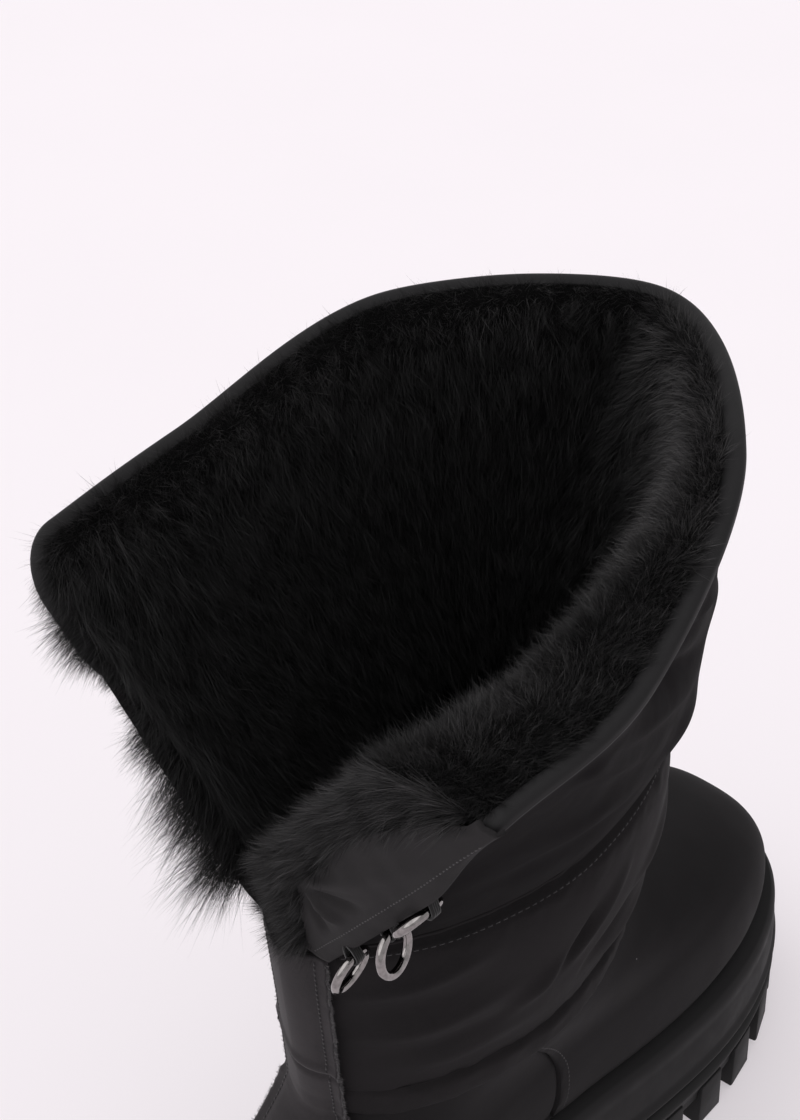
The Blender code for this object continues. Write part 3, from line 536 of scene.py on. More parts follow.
def horseshoe(name, deg, outer, inner, out_face, in_face, nose=3.0):
    """Wall round the collar at the given angles, with rounded ends that stand out by nose at most."""
    rounding = 5
    turn = np.radians(np.linspace(0, 90, rounding + 1)[1:])
    cols = np.radians(np.concatenate([np.full(rounding, deg[0]), deg, np.full(rounding, deg[-1])]))
    theta = np.concatenate([turn[::-1], np.zeros(len(deg)), turn])
    end = np.concatenate([-np.ones(rounding), np.zeros(len(deg)), np.ones(rounding)])
    rows, inside = wall_rows(outer, inner)

    def place(i, j):
        share = rows[j]
        a = cols[i]
        out, inn = out_face(a, share), in_face(a, share)
        middle, half = (out + inn) / 2, (out - inn) / 2
        step = -0.03 * end[i]
        before = (out_face(a + step, share) + in_face(a + step, share)) / 2
        on = unit(middle - before) * np.abs(end[i])[:, None]
        side = np.where(inside[j], -1.0, 1.0)
        reach = np.minimum(np.linalg.norm(half, axis=-1), nose) * np.sin(theta[i])
        return middle + half * (side * np.cos(theta[i]))[:, None] + on * reach[:, None]
    return weld(grid_piece(name, len(cols) - 1, len(rows) - 1, place))


def mesh_piece(name, points, faces_of, count, shade=None):
    """Many like small things as one mesh: points (count, n, 3) in mm, and each one's faces."""
    n = points.shape[1]
    mesh = bpy.data.meshes.new(name)
    mesh.vertices.add(count * n)
    mesh.vertices.foreach_set("co", world(points.reshape(-1, 3)).ravel())
    sizes = np.array([len(f) for f in faces_of])
    corners = np.concatenate([np.array(f) for f in faces_of])
    base = np.repeat(np.arange(count) * n, len(corners))
    mesh.loops.add(count * len(corners))
    mesh.loops.foreach_set("vertex_index", (np.tile(corners, count) + base).astype(np.int32))
    totals = np.tile(sizes, count)
    starts = np.concatenate([[0], np.cumsum(totals)[:-1]])
    mesh.polygons.add(len(totals))
    mesh.polygons.foreach_set("loop_start", starts.astype(np.int32))
    mesh.polygons.foreach_set("loop_total", totals.astype(np.int32))
    if shade is not None:
        tone = mesh.attributes.new("shade", "FLOAT", "POINT")
        tone.data.foreach_set("value", shade.ravel().astype(np.float32))
    mesh.update(calc_edges=True)
    mesh.shade_smooth()
    obj = bpy.data.objects.new(name, mesh)
    bpy.context.scene.collection.objects.link(obj)
    return obj


# Finishes

class Finish:
    """A Principled material and the nodes that give it its detail."""

    def __init__(self, name, colour, rough, settings=()):
        self.mat = bpy.data.materials.new(name)
        self.mat.use_nodes = True
        self.tree = self.mat.node_tree
        self.bsdf = self.tree.nodes["Principled BSDF"]
        self.bsdf.inputs["Base Color"].default_value = (*colour, 1.0)
        self.bsdf.inputs["Roughness"].default_value = rough
        for key, value in settings:
            self.bsdf.inputs[key].default_value = value
        self.place = self.tree.nodes.new("ShaderNodeTexCoord").outputs["Object"]
        self.normal = None

    def node(self, kind, inputs=(), **options):
        made = self.tree.nodes.new(kind)
        for key, value in options.items():
            setattr(made, key, value)
        for key, value in inputs:
            if isinstance(value, bpy.types.NodeSocket):
                self.tree.links.new(value, made.inputs[key])
            else:
                made.inputs[key].default_value = value
        return made

    def noise(self, size, detail, rough):
        """Cloudy pattern with spots of about the given size in mm."""
        made = self.node("ShaderNodeTexNoise", (("Vector", self.place), ("Scale", 1.0 / (size * MM)),
                                                ("Detail", detail), ("Roughness", rough)))
        return made.outputs["Fac"]

    def spread(self, value, low, high, to_low=0.0, to_high=1.0):
        made = self.node("ShaderNodeMapRange", (("Value", value), ("From Min", low), ("From Max", high),
                                                ("To Min", to_low), ("To Max", to_high)))
        return made.outputs["Result"]

    def math(self, operation, a, b):
        made = self.node("ShaderNodeMath", ((0, a), (1, b)), operation=operation)
        return made.outputs["Value"]

    def blend(self, amount, dark, light):
        """Colour between a dark and a light one; each is a colour or a socket."""
        ends = [c if isinstance(c, bpy.types.NodeSocket) else (*c, 1.0) for c in (dark, light)]
        made = self.node("ShaderNodeMix", (("Factor", amount), (6, ends[0]), (7, ends[1])), data_type="RGBA")
        return made.outputs[2]

    def specks(self, size, share, radius):
        """Small stray fibres of lint: 1 on a speck, 0 elsewhere."""
        made = self.node("ShaderNodeTexVoronoi", (("Vector", self.place), ("Scale", 1.0 / (size * MM))))
        near = self.math("LESS_THAN", made.outputs["Distance"], radius)
        red = self.node("ShaderNodeSeparateColor", (("Color", made.outputs["Color"]),)).outputs["Red"]
        return self.math("MULTIPLY", near, self.math("LESS_THAN", red, share))

    def bump(self, height, strength, depth):
        """Relief of the given depth in mm, over any relief so far."""
        inputs = [("Height", height), ("Strength", strength), ("Distance", depth * MM)]
        if self.normal is not None:
            inputs.append(("Normal", self.normal))
        self.normal = self.node("ShaderNodeBump", inputs).outputs["Normal"]
        self.tree.links.new(self.normal, self.bsdf.inputs["Normal"])

    def colour(self, socket):
        self.tree.links.new(socket, self.bsdf.inputs["Base Color"])

    def rough(self, socket):
        self.tree.links.new(socket, self.bsdf.inputs["Roughness"])


def shaded(tone, share):
    return tuple(c * share for c in tone)


def soft_black(name, tone, rough, sheen, grain, mottle=0.2, lint=0.02, gloss=0.06):
    """Napped black cloth or nubuck: fine grain, faint clouds, a little lint."""
    dark, light = shaded(tone, 1 - mottle), shaded(tone, 1 + mottle)
    made = Finish(name, tone, rough, (("Specular IOR Level", gloss), ("Sheen Weight", sheen),
                                      ("Sheen Roughness", 0.45), ("Sheen Tint", (0.92, 0.88, 0.90, 1.0))))
    clouds = made.noise(14.0, 5.0, 0.6)
    nap = made.noise(0.9, 4.0, 0.65)
    mix = made.math("ADD", made.math("MULTIPLY", clouds, 0.65), made.math("MULTIPLY", nap, 0.35))
    tint = made.blend(made.spread(mix, 0.35, 0.65), dark, light)
    tint = made.blend(made.specks(5.0, lint, 0.05), tint, (0.16, 0.155, 0.16))
    made.colour(tint)
    made.rough(made.spread(clouds, 0.3, 0.7, rough - 0.08, rough + 0.08))
    made.bump(made.noise(2.6, 4.0, 0.6), 0.35, 0.10)
    made.bump(made.noise(grain, 3.0, 0.7), 0.5, 0.06)
    return made.mat


def fur_finish(name, dark, light, rough):
    """Hair whose tone runs from dark to light with each point's shade, which carries random tone and the
    painted highlight and shade of the hairs.
    """
    made = Finish(name, dark, rough, (("Specular IOR Level", 0.35),))
    tone = made.node("ShaderNodeAttribute", attribute_name="shade").outputs["Fac"]
    made.colour(made.blend(tone, dark, light))
    made.bump(made.noise(0.5, 2.0, 0.6), 0.3, 0.05)
    return made.mat


def rubber_finish(name, tone, rough):
    made = Finish(name, tone, rough, (("Specular IOR Level", 0.14),))
    clouds = made.noise(11.0, 5.0, 0.6)
    made.colour(made.blend(made.spread(clouds, 0.35, 0.7), tone, shaded(tone, 1.5)))
    made.rough(made.spread(clouds, 0.3, 0.7, rough - 0.08, rough + 0.1))
    made.bump(made.noise(0.55, 3.0, 0.65), 0.35, 0.06)
    return made.mat


def metal_finish(name):
    dark, light = (0.19, 0.178, 0.175), (0.31, 0.29, 0.285)
    made = Finish(name, dark, 0.14, (("Metallic", 1.0),))
    wear = made.noise(1.6, 4.0, 0.6)
    made.colour(made.blend(made.spread(wear, 0.35, 0.7), dark, light))
    made.rough(made.spread(wear, 0.3, 0.7, 0.06, 0.14))
    made.bump(made.noise(0.35, 2.0, 0.5), 0.08, 0.02)
    return made.mat


def tape_finish(name, tone):
    made = Finish(name, tone, 0.8, (("Specular IOR Level", 0.25), ("Sheen Weight", 0.15)))
    weave = made.node("ShaderNodeTexWave", (("Vector", made.place), ("Scale", 520.0), ("Distortion", 1.2)))
    made.colour(made.blend(weave.outputs["Fac"], shaded(tone, 0.7), shaded(tone, 1.4)))
    made.bump(weave.outputs["Fac"], 0.6, 0.15)
    return made.mat


# painted shade: the collar baffle is the shell's own cloth, made darker for the shade on its outward-leaning
# face
SHADED_COLLAR_CLOTH = soft_black("collar_cloth_painted_shade", (0.0056, 0.0049, 0.0053), 0.74, 0.0, 0.28, gloss=0.03)
SHELL = soft_black("shell_cloth", (0.0118, 0.0106, 0.0112), 0.70, 0.0, 0.28)
NUBUCK = soft_black("nubuck", (0.0098, 0.0090, 0.0095), 0.80, 0.04, 0.35, 0.2)
STAY = soft_black("backstay_nubuck", (0.0235, 0.0212, 0.0225), 0.74, 0.08, 0.35, 0.25)
BINDING = soft_black("binding_cloth", (0.0135, 0.0130, 0.0136), 0.60, 0.03, 0.22, 0.12, 0.01, 0.12)
FACING = soft_black("facing_cloth", (0.0140, 0.0130, 0.0135), 0.64, 0.02, 0.26, 0.2, 0.02)
FELT = soft_black("felt", (0.0120, 0.0120, 0.0120), 0.95, 0.20, 0.8)
PELT = soft_black("pelt", (0.0030, 0.0029, 0.0030), 0.95, 0.0, 0.5)
HAIR = fur_finish("fur_hair", (0.0020, 0.0019, 0.0020), (0.088, 0.083, 0.085), 0.60)
FRAY = fur_finish("frayed_edge", (0.07, 0.066, 0.069), (0.20, 0.19, 0.195), 0.8)
THREAD = soft_black("thread", (0.024, 0.023, 0.024), 0.6, 0.2, 0.2, 0.2, 0.0)
TREAD = rubber_finish("tread_rubber", (0.0125, 0.0122, 0.0125), 0.58)
PLATFORM = rubber_finish("platform_rubber", (0.0085, 0.0081, 0.0085), 0.64)
GUNMETAL = metal_finish("gunmetal")
TAPE = tape_finish("tab_tape", (0.006, 0.0058, 0.006))


# Shaft

def make_shaft():
    low = tube("shaft_lower", np.linspace(-180, 180, 331), np.linspace(0, 1, 91), np.linspace(0, 1, 5),
               lower_face, lambda a, level: shaft_closed(a, level, SHAFT_WALL))
    high = horseshoe("shaft_collar", collar_columns(-SLIT_EDGE, SLIT_EDGE, 1.0), np.linspace(0, 1, 86),
                     np.linspace(0, 1, 7), collar_face, collar_inside)
    # the collar baffle takes the darker cloth that carries its painted shade
    for piece, finish in ((low, SHELL), (high, SHADED_COLLAR_CLOTH)):
        dress(piece, finish, "quilted_fabric", "shaft")


def closed_curve(points, count):
    """Even, smooth points on the closed curve through the given ones."""
    p = np.array(points, float)
    t = np.linspace(0, len(p), count, endpoint=False)
    i = np.floor(t).astype(int)
    f = (t - i)[:, None]
    a, b, c, d = (p[(i + k) % len(p)] for k in (-1, 0, 1, 2))
    bend, twist = 2 * a - 5 * b + 4 * c - d, 3 * b - a - 3 * c + d
    return 0.5 * (2 * b + (c - a) * f + bend * f ** 2 + twist * f ** 3)


def binding_path():
    """Angles and shares of the height along the shell's edge, right corner first and down the left last."""
    turn = np.radians(np.linspace(0, 90, 15))
    right, left = [(SLIT_EDGE - wide + wide * np.cos(turn), SHELL_TOP - drop + drop * np.sin(turn))
                   for wide, drop in zip(CORNER_DEG, CORNER_DROP)]
    down = np.linspace(left[1][0], BINDING_END, 16)[1:]
    middle = np.linspace(-right[0][-1], left[0][-1], 320)[1:-1]
    deg = np.concatenate([-right[0], middle, left[0][::-1], np.full(len(down), SLIT_EDGE)])
    v = np.concatenate([right[1], np.full(len(middle), SHELL_TOP), left[1][::-1], down])
    return np.radians(deg), v


def make_binding():
    section = closed_curve(BINDING_SECTION, 22)
    section = np.concatenate([section, section[:1]])
    a, v = binding_path()
    base = shaft_open(a, v, BINDING_HEART[0])
    into = unit(shaft_open(a, v, 1.6) - shaft_open(a, v, -0.4))
    along = unit(np.gradient(base, axis=0))
    above = unit(np.cross(into, along))
    above = above * np.sign(above[len(a) // 2, 2])
    # both ends taper to a point
    size = np.ones(len(a))
    size[:6] = size[-6:][::-1] = np.sin(np.radians(np.linspace(0, 90, 6)))
    size[[0, -1]] = 0.02

    def place(i, j):
        inset, height = ((section[j] - BINDING_HEART) * size[i][:, None]).T
        p = base[i] + into[i] * inset[:, None] + above[i] * (height + BINDING_HEART[1])[:, None]
        return p + above[i] * (0.22 * lumps(base[i], 24, 2))[:, None]
    piece = weld(grid_piece("collar_edge_binding", len(a) - 1, len(section) - 1, place))
    dress(piece, BINDING, "binding_fabric", "collar_binding")


# Fur

def fur_top(deg):
    """Share of the baffle's height where the fur meets the binding."""
    return collar_top(deg) + 0.016


def panel_out(v):
    """Direction out of the end of the right flap."""
    a = np.full_like(v, RIGHT_END)
    edge = unit(rim_point(a, 0.0) - shaft_open(a, 0.0, 0.0))
    return unit(np.cross(edge, flap_in(a)))


def flap_in(a):
    """Level direction into the boot at the collar's edge."""
    return unit(rim_point(a, 1.0) - rim_point(a, 0.0))


def fur_face(a, v, depth):
    """Place at a depth in the fur; on the right flap the depth runs level, straight in from the flap."""
    wall = shaft_open(a, v, FUR_SEAT)
    inward = shaft_open(a, v, FUR_SEAT + depth)
    level = wall + flap_in(a) * np.asarray(depth)[..., None]
    return inward + (level - inward) * ramp(-np.degrees(a), 112, 152)[..., None]


def fur_depth(a, v):
    """Thickness of the pelt under the hair."""
    deg = np.degrees(a)
    p = shaft_open(a, v, FUR_SEAT)
    full = column(PELT_ROWS, 1, deg)
    below = np.clip((fur_top(deg) - v) * BAFFLE_TALL / ROLL_DROP, 0, 1)
    roll = np.sqrt(np.clip(1 - (1 - below) ** 2, 0, 1))
    base = PELT_THIN + (full - PELT_THIN) * ramp(v, 0.0, 0.24)
    swell = folds(FUR_SWELLS, deg, v) + 0.9 * lumps(p, 9, 21)
    return ((base + swell) * roll).clip(0.8, None)


def make_pelt():
    """Hide under the hair, with the roll's shape."""
    def low_backing(a, level):
        return shaft_closed(a, level, FUR_SEAT)

    def low_inside(a, level):
        return shaft_closed(a, level, FUR_SEAT + 3.8 + lumps(shaft_closed(a, level, 0.0), 9, 22))

    def inside(a, share):
        v = fur_top(np.degrees(a)) * share
        return fur_face(a, v, fur_depth(a, v))

    def backing(a, share):
        return shaft_open(a, fur_top(np.degrees(a)) * share, FUR_SEAT)
    low = tube("fur_pelt_low", np.linspace(-180, 180, 121), np.linspace(0.02, 1, 6), np.linspace(0.02, 1, 26),
               low_backing, low_inside)
    high = horseshoe("fur_pelt_collar", collar_columns(1.0 - SLIT_EDGE, SLIT_EDGE, 2.0),
                     np.linspace(0, 1, 10), 1 - np.linspace(1, 0, 56) ** 1.5, backing, inside, 2.0)
    for piece in (low, high):
        dress(piece, PELT, "fur", "fur_lining")


def blades(name, root, reach, droop, width, shade, parts=2, finish=HAIR, slot="fur"):
    """Hairs: narrow curved blades from their roots to a point, joined in one mesh; the roots are painted
    darker as shade and the points lighter as a highlight.
    """
    count = len(root)
    t = np.linspace(0, 1, parts + 1)[None, :, None]
    line = root[:, None] + reach[:, None] * t + droop[:, None] * t ** 2
    side = unit(np.cross(reach, unit(RNG.normal(size=(count, 3)))))
    w = (width[:, None] * (1 - 0.5 * t[0, :-1, 0]))[..., None] * 0.5
    left = line[:, :-1] - side[:, None] * w
    right = line[:, :-1] + side[:, None] * w
    points = np.concatenate([left, right, line[:, -1:]], axis=1)
    faces = [(k, parts + k, parts + k + 1, k + 1) for k in range(parts - 1)]
    faces.append((parts - 1, 2 * parts - 1, 2 * parts))
    run = np.concatenate([t[0, :-1, 0], t[0, :-1, 0], [1.0]])
    # painted shade at the roots, fading to a painted highlight at the points
    obj = mesh_piece(name, points, faces, count, shade[:, None] * (0.15 + 0.85 * run))
    dress(obj, finish, slot)


def sagging(amount):
    """Droop of hairs, straight down by an amount in mm."""
    return np.outer(amount, (0.0, 0.0, -1.0))


def chance(ids, seed):
    """A fixed random share for each whole-numbered id."""
    return scramble(ids[..., 0] * 127.1 + ids[..., 1] * 269.5 + seed * 91.7)


def wall_frame(face, a, v):
    """Point on a wall, with the directions round it, up it and into the boot."""
    p = face(a, v)
    around = unit(face(a + 0.01, v) - face(a - 0.01, v))
    up = unit(face(a, v + 0.01) - face(a, v - 0.01))
    return p, around, up, -unit(np.cross(around, up))


def scatter(face, count, deg_range, v_range):
    """Roots spread evenly over a stretch of wall."""
    cells = 80
    step = np.array([math.radians(deg_range[1] - deg_range[0]), v_range[1] - v_range[0]]) / cells
    i, j = [k.ravel() + 0.5 for k in np.meshgrid(np.arange(cells), np.arange(cells))]
    a, v = math.radians(deg_range[0]) + i * step[0], v_range[0] + j * step[1]
    d = step / 2
    sides = face(a + d[0], v) - face(a - d[0], v), face(a, v + d[1]) - face(a, v - d[1])
    area = np.linalg.norm(np.cross(*sides), axis=-1)
    at = RNG.choice(len(area), count, p=area / area.sum())
    spread = RNG.uniform(-0.5, 0.5, (2, count)) * step[:, None]
    return a[at] + spread[0], v[at] + spread[1]


def locks(p, around, up, reach, a, v, size, pull):
    """Draws the tips of neighbouring hairs together into locks of a size in mm that lean their own way."""
    place = np.stack([np.degrees(a) * MM_A_DEGREE, v * BAFFLE_TALL], -1)
    cell = np.floor(place / size + 0.5 * lumps(p, size * 2.5, 31)[:, None])
    jitter = np.stack([chance(cell, 1), chance(cell, 2)], -1)
    centre = (cell + 0.25 + 0.5 * jitter) * size
    to = (centre - place) * pull
    lean = (jitter - 0.5) * np.linalg.norm(reach, axis=-1, keepdims=True) * 0.55
    along = np.clip(to + lean, -6, 6)
    scale = 0.8 + 0.45 * chance(cell, 3)
    return (reach + around * along[:, :1] + up * along[:, 1:]) * scale[:, None]


def fur_level(a, t):
    """Share of the height at a run t up the fur's face, seam to binding; the roll is half of the run."""
    top = fur_top(np.degrees(a))
    roll = ROLL_DROP / BAFFLE_TALL
    turn = np.clip(2 * t - 1, 0, 1) * math.pi / 2
    wall = 0.015 + (top - roll - 0.015) * np.clip(2 * t, 0, 1)
    return np.where(t < 0.5, wall, top - roll * (1 - np.sin(turn)))


def collar_root(a, t):
    """Roots of the collar's pile, just under the pelt's face."""
    v = fur_level(a, t)
    return fur_face(a, v, np.maximum(fur_depth(a, v) - 1.0, 0.2))


def collar_fur(name, count, deg_range, longer, width, parts):
    """Pile on the collar's inside: hairs that stand in small locks, with painted highlights that make them
    lighter towards the collar's edge, on top of the right roll and on the front's swell.
    """
    a, t = scatter(collar_root, count, deg_range, (0.0, 0.99))
    deg = np.degrees(a)
    v = fur_level(a, t)
    p, around, up, into = wall_frame(collar_root, a, t)
    n = len(a)
    below = (fur_top(deg) - v) * BAFFLE_TALL
    rim = 1 - ramp(below, 1, 16)
    left_edge = ramp(deg, 118, 163)
    right = ramp(-deg, 55, 115)
    right_end = ramp(-deg, 138, 163)
    length = (6.2 - 1.6 * rim - 0.5 * right + 3.0 * left_edge) * longer * RNG.uniform(0.6, 1.15, n)
    # painted highlight where the top of the right roll and the swell on the front right catch the light
    crest_painted_highlight = right * hump(t, 0.63, 0.19) + 1.7 * hump(deg, -48, 30) * ramp(v, 0.25, 0.62)
    c_in = 0.70 + 0.1 * rim + 0.2 * right
    c_up = -0.55 + 0.35 * rim + 0.45 * right + 0.7 * (1 - ramp(below, 0.2, 4.0))
    c_round = 0.30 * ramp(deg, -50, 10) + 0.65 * left_edge - 0.2 * right_end
    way = into * c_in[:, None] + up * c_up[:, None] + around * c_round[:, None]
    way = unit(way + RNG.normal(scale=1.0, size=(n, 3)) * (0.31 + 0.07 * right)[:, None])
    reach = locks(p, around, up, way * length[:, None], a, v, 3.4, 0.35)
    droop = sagging(0.22 * length * (1 - 0.8 * np.maximum(rim, right)))
    # tone: a random share, plus painted highlight near the collar's edge and on top of the roll
    light = 0.14 + (0.8 - 0.5 * right) * rim + 0.06 * right + 0.95 * crest_painted_highlight * (1 - 0.45 * right_end)
    shade = np.clip(RNG.uniform(0.05, 1, n) ** 2.4 * light, 0, 1)
    shade = np.clip(shade * (1 + 0.7 * lumps(p, 13, 71)), 0, 1)
    blades(name, p, reach, droop, RNG.uniform(*width, n), shade, parts)


def flap_fur():
    """Pile on the end of the right flap, past the facing's inner edge and down to the slit's base."""
    n = 20000
    share = RNG.uniform(0.0, 0.995, n)
    a = np.full(n, RIGHT_END)
    v = FACING_TOP * share
    wide = np.interp(share, *zip(*FACING_ROWS))
    deep = np.maximum(FUR_SEAT + fur_depth(a, v) - 0.5, wide + 1.0)
    inset = wide + (deep - wide) * RNG.uniform(-0.05, 1.0, n)
    on, level = panel_out(v), flap_in(a)
    p = shaft_open(a, v, 0.0) + level * inset[:, None] + on * RNG.uniform(-1.5, 0.5, n)[:, None]
    out = ramp((inset - wide) / np.maximum(deep - wide, 1.0), 0.0, 1.0)
    way = on * (0.75 - 0.35 * out)[:, None] + level * (0.25 + 0.75 * out)[:, None]
    way[:, 2] += 0.35 * (share - 0.45)
    way = unit(unit(way) + 0.35 * on + RNG.normal(scale=0.36, size=(n, 3)))
    length = RNG.uniform(4.0, 8.5, n)
    up = np.tile((0.0, 0.0, 1.0), (n, 1))
    reach = locks(p, level, up, way * length[:, None], a + inset / 60.0, v, 4.0, 0.4)
    droop = sagging(0.15 * length)
    shade = RNG.uniform(0.1, 1, n) ** 2.4
    blades("fur_flap_end", p, reach, droop, RNG.uniform(0.08, 0.15, n), shade)


def deep_fur():
    """Fur of the closed shaft, down in the dark."""
    def root(a, level):
        return shaft_closed(a, level, FUR_SEAT + 2.5)
    a, level = scatter(root, 8000, (-180, 180), (0.25, 0.995))
    p, around, up, into = wall_frame(root, a, level)
    n = len(a)
    way = unit(into * 0.7 - up * 0.6 + RNG.normal(scale=0.2, size=(n, 3)))
    reach = locks(p, around, up, way * RNG.uniform(8, 14, n)[:, None], a, level, 7.0, 0.5)
    width = RNG.uniform(0.22, 0.40, n)
    shade = RNG.uniform(0, 1, n) ** 2.5 * 0.25
    blades("fur_deep", p, reach, sagging(np.full(n, 2.5)), width, shade)


def slit_fur():
    """Long locks that hang over the left slit edge, and short ones over the slit's base."""
    n = 12500
    v = RNG.uniform(0.01, 0.93, n)
    a = np.radians(SLIT_EDGE - RNG.uniform(0, 1, n) ** 1.5 * 5.0)
    inset = FUR_SEAT + RNG.uniform(-2.0, 5.5, n) - 2.2 * ramp(v, 0.5, 0.7)
    p, around, up, into = wall_frame(lambda b, w: shaft_open(b, w, inset), a, v)
    tuft = np.stack([np.floor(v * BAFFLE_TALL / 9.0 + 0.8 * lumps(p, 14, 33)), np.zeros(n)], -1)
    low = 1 - ramp(v, 0.14, 0.45)
    length = RNG.uniform(7, 12, n) * (0.62 + 0.45 * chance(tuft, 7)) * (1 + 1.1 * low)
    length = length * (1 - 0.5 * ramp(v, 0.45, 0.75)) * (0.25 + 0.75 * ramp(v, 0.07, 0.20))
    length = length * (1 + 0.7 * hump(v, 0.80, 0.06)) * (1 - 0.45 * hump(v, 0.66, 0.07))
    length = length * RNG.uniform(0.65, 1.35, n)
    way = around * 0.5 + np.array((-0.75, 0.35, -0.35)) * (0.55 + 0.45 * low)[:, None]
    way[:, 2] += 0.25 * low
    way = unit(way + RNG.normal(scale=0.3, size=(n, 3)))
    reach = locks(p, around, up, way * length[:, None], a, v, 4.5, 0.4)
    droop = sagging(0.3 * length * (1 - 0.6 * low))
    shade = RNG.uniform(0, 1, n) ** 2.2 * 0.3
    blades("fur_slit_left", p, reach, droop, RNG.uniform(0.06, 0.13, n), shade, 3)
    n = 3600
    a = np.radians(SLIT_EDGE + RNG.uniform(-2, 32, n))

    def base(b, level):
        return shaft_closed(b, level, FUR_SEAT + 0.5)
    p, around, up, into = wall_frame(base, a, RNG.uniform(0.96, 0.985, n))
    way = unit(up * 0.75 - into * 0.35 + RNG.normal(scale=0.3, size=(n, 3)))
    length = RNG.uniform(5, 11, n)
    droop = sagging(0.35 * length) - into * 0.15 * length[:, None]
    reach = locks(p, around, up, way * length[:, None], a, np.full(n, 1.0), 5.0, 0.5)
    shade = RNG.uniform(0, 1, n) ** 2.0 * 0.35
    blades("fur_slit_base", p, reach, droop, RNG.uniform(0.10, 0.18, n), shade)


# Pile on the collar: stretch, count of short and of long hairs, its angles
PILE_ROWS = (
    ("left", 90000, 15000, (60, SLIT_EDGE)),
    ("front", 90000, 14000, (-60, 60)),
    ("right", 120000, 20000, (0.6 - SLIT_EDGE, -60)),
)


def make_fur():
    make_pelt()
    for word, under, guard, stretch in PILE_ROWS:
        collar_fur("fur_" + word, under, stretch, 1.0, (0.09, 0.15), 1)
        collar_fur("fur_%s_long" % word, guard, stretch, 1.4, (0.07, 0.12), 2)
    flap_fur()
    deep_fur()
    slit_fur()


# Stitching

# One stitch: place along it, thickness, rise
STITCH_RINGS = ((-1.0, 0.25, -0.9), (-0.6, 0.9, 0.05), (0.6, 0.9, 0.05), (1.0, 0.25, -0.9))
STITCH_SIDES = 5


def spaced(points, pitch):
    """Even places along a line, with the direction there."""
    step = np.linalg.norm(np.diff(points, axis=0), axis=1)
    run = np.concatenate([[0], np.cumsum(step)])
    at = np.arange(pitch / 2, run[-1], pitch)

    def read(where):
        return np.stack([np.interp(where, run, points[:, k]) for k in range(3)], -1)
    return read(at), unit(read(np.minimum(at + 0.4, run[-1])) - read(np.maximum(at - 0.4, 0)))


def stitch_row(name, points, outward, pitch, slot, thick, sunk=0.05):
    """Row of thread stitches along a line on a face; outward is the face's normal along it."""
    p, along = spaced(points, pitch)
    run = np.linspace(0, 1, len(outward))
    at = np.linspace(0, 1, len(p))
    out = unit(np.stack([np.interp(at, run, outward[:, k]) for k in range(3)], -1))
    across = unit(np.cross(out, along))
    half = pitch * 0.42
    sides = range(STITCH_SIDES)
    rings = []
    for t, size, rise in STITCH_RINGS:
        for k in sides:
            turn = 2 * math.pi * k / STITCH_SIDES
            rise_by = math.sin(turn) * thick * size + rise * thick * 0.6
            off = across * math.cos(turn) * thick * size + out * rise_by
            rings.append(p + along * half * t + off - out * sunk)
    last = STITCH_SIDES * (len(STITCH_RINGS) - 1)
    faces = []
    for r in range(0, last, STITCH_SIDES):
        for k in sides:
            m = (k + 1) % STITCH_SIDES
            faces.append((r + k, r + m, r + STITCH_SIDES + m, r + STITCH_SIDES + k))
    faces.append(tuple(sides[::-1]))
    faces.append(tuple(last + k for k in sides))
    obj = mesh_piece(name, np.stack(rings, axis=1), faces, len(p))
    weld(obj, 0.0000001)
    dress(obj, THREAD, slot)


def face_normals(face, a, v, da=0.01, dv=0.01):
    """Direction out of a face, from its slopes over small steps."""
    return unit(np.cross(face(a + da, v) - face(a - da, v), face(a, v + dv) - face(a, v - dv)))


def seam_stitches():
    """Thread along the seam under the collar baffle."""
    a = np.radians(np.linspace(-157, 157, 400))
    level = np.full_like(a, SEAM_STITCH)
    stitch_row("collar_seam_stitches", lower_face(a, level), face_normals(lower_face, a, level - 0.02), 2.3,
               "quilted_fabric", 0.30, 0.1)


# Facing on the end of the right flap

# Its section from the free edge over the shell, across the flap's end to the fur: run, share of the way in,
# depth added to that, distance past the slit edge
FACING_SECTION = (
    (0.00, 0.0, -6.2, 0.8),
    (0.10, 0.0, -3.6, 2.0),
    (0.22, 0.0, -0.6, 2.5),
    (0.34, 0.06, 1.0, 2.7),
    (0.66, 0.52, 0.5, 2.9),
    (1.00, 1.0, 0.0, 2.2),
)
FACING_TALL = 98.0
FAN_FROM = 0.31          # share of the slit's height from which its creases fan out
FAN_CREASES = ((28, 1.3), (62, -1.3), (98, 1.5), (134, -1.2))    # direction in degrees, height


def facing_sheet(u, share):
    """Facing at a run u from its free edge (0) to the fur (1), and a share of the slit's height."""
    a = np.full_like(u, RIGHT_END)
    v = FACING_TOP * share
    wide = np.interp(share, *zip(*FACING_ROWS))
    way, add, past = columns(FACING_SECTION, u)
    add = np.where(add < 0, add * (1 - 0.9 * ramp(share, 0.60, 0.98)), add)
    inner = shaft_open(a, v, 0.0) + flap_in(a) * (way * wide + add)[:, None]
    x, y = (share - FAN_FROM) * FACING_TALL, (1 - way) * wide
    fan = np.degrees(np.arctan2(y + 0.5, x))
    crease = sum(h * hump(fan, at, 9.0) for at, h in FAN_CREASES)
    crease = crease * ramp(np.hypot(x, y), 2, 9) * ramp(u, 0.25, 0.5) * (1 - ramp(u, 0.85, 1.0))
    past = past * (0.45 + 0.55 * ramp(share, 0.0, 0.3))
    return inner + panel_out(v) * (past + crease + 0.25 * lumps(inner, 7, 41))[:, None]


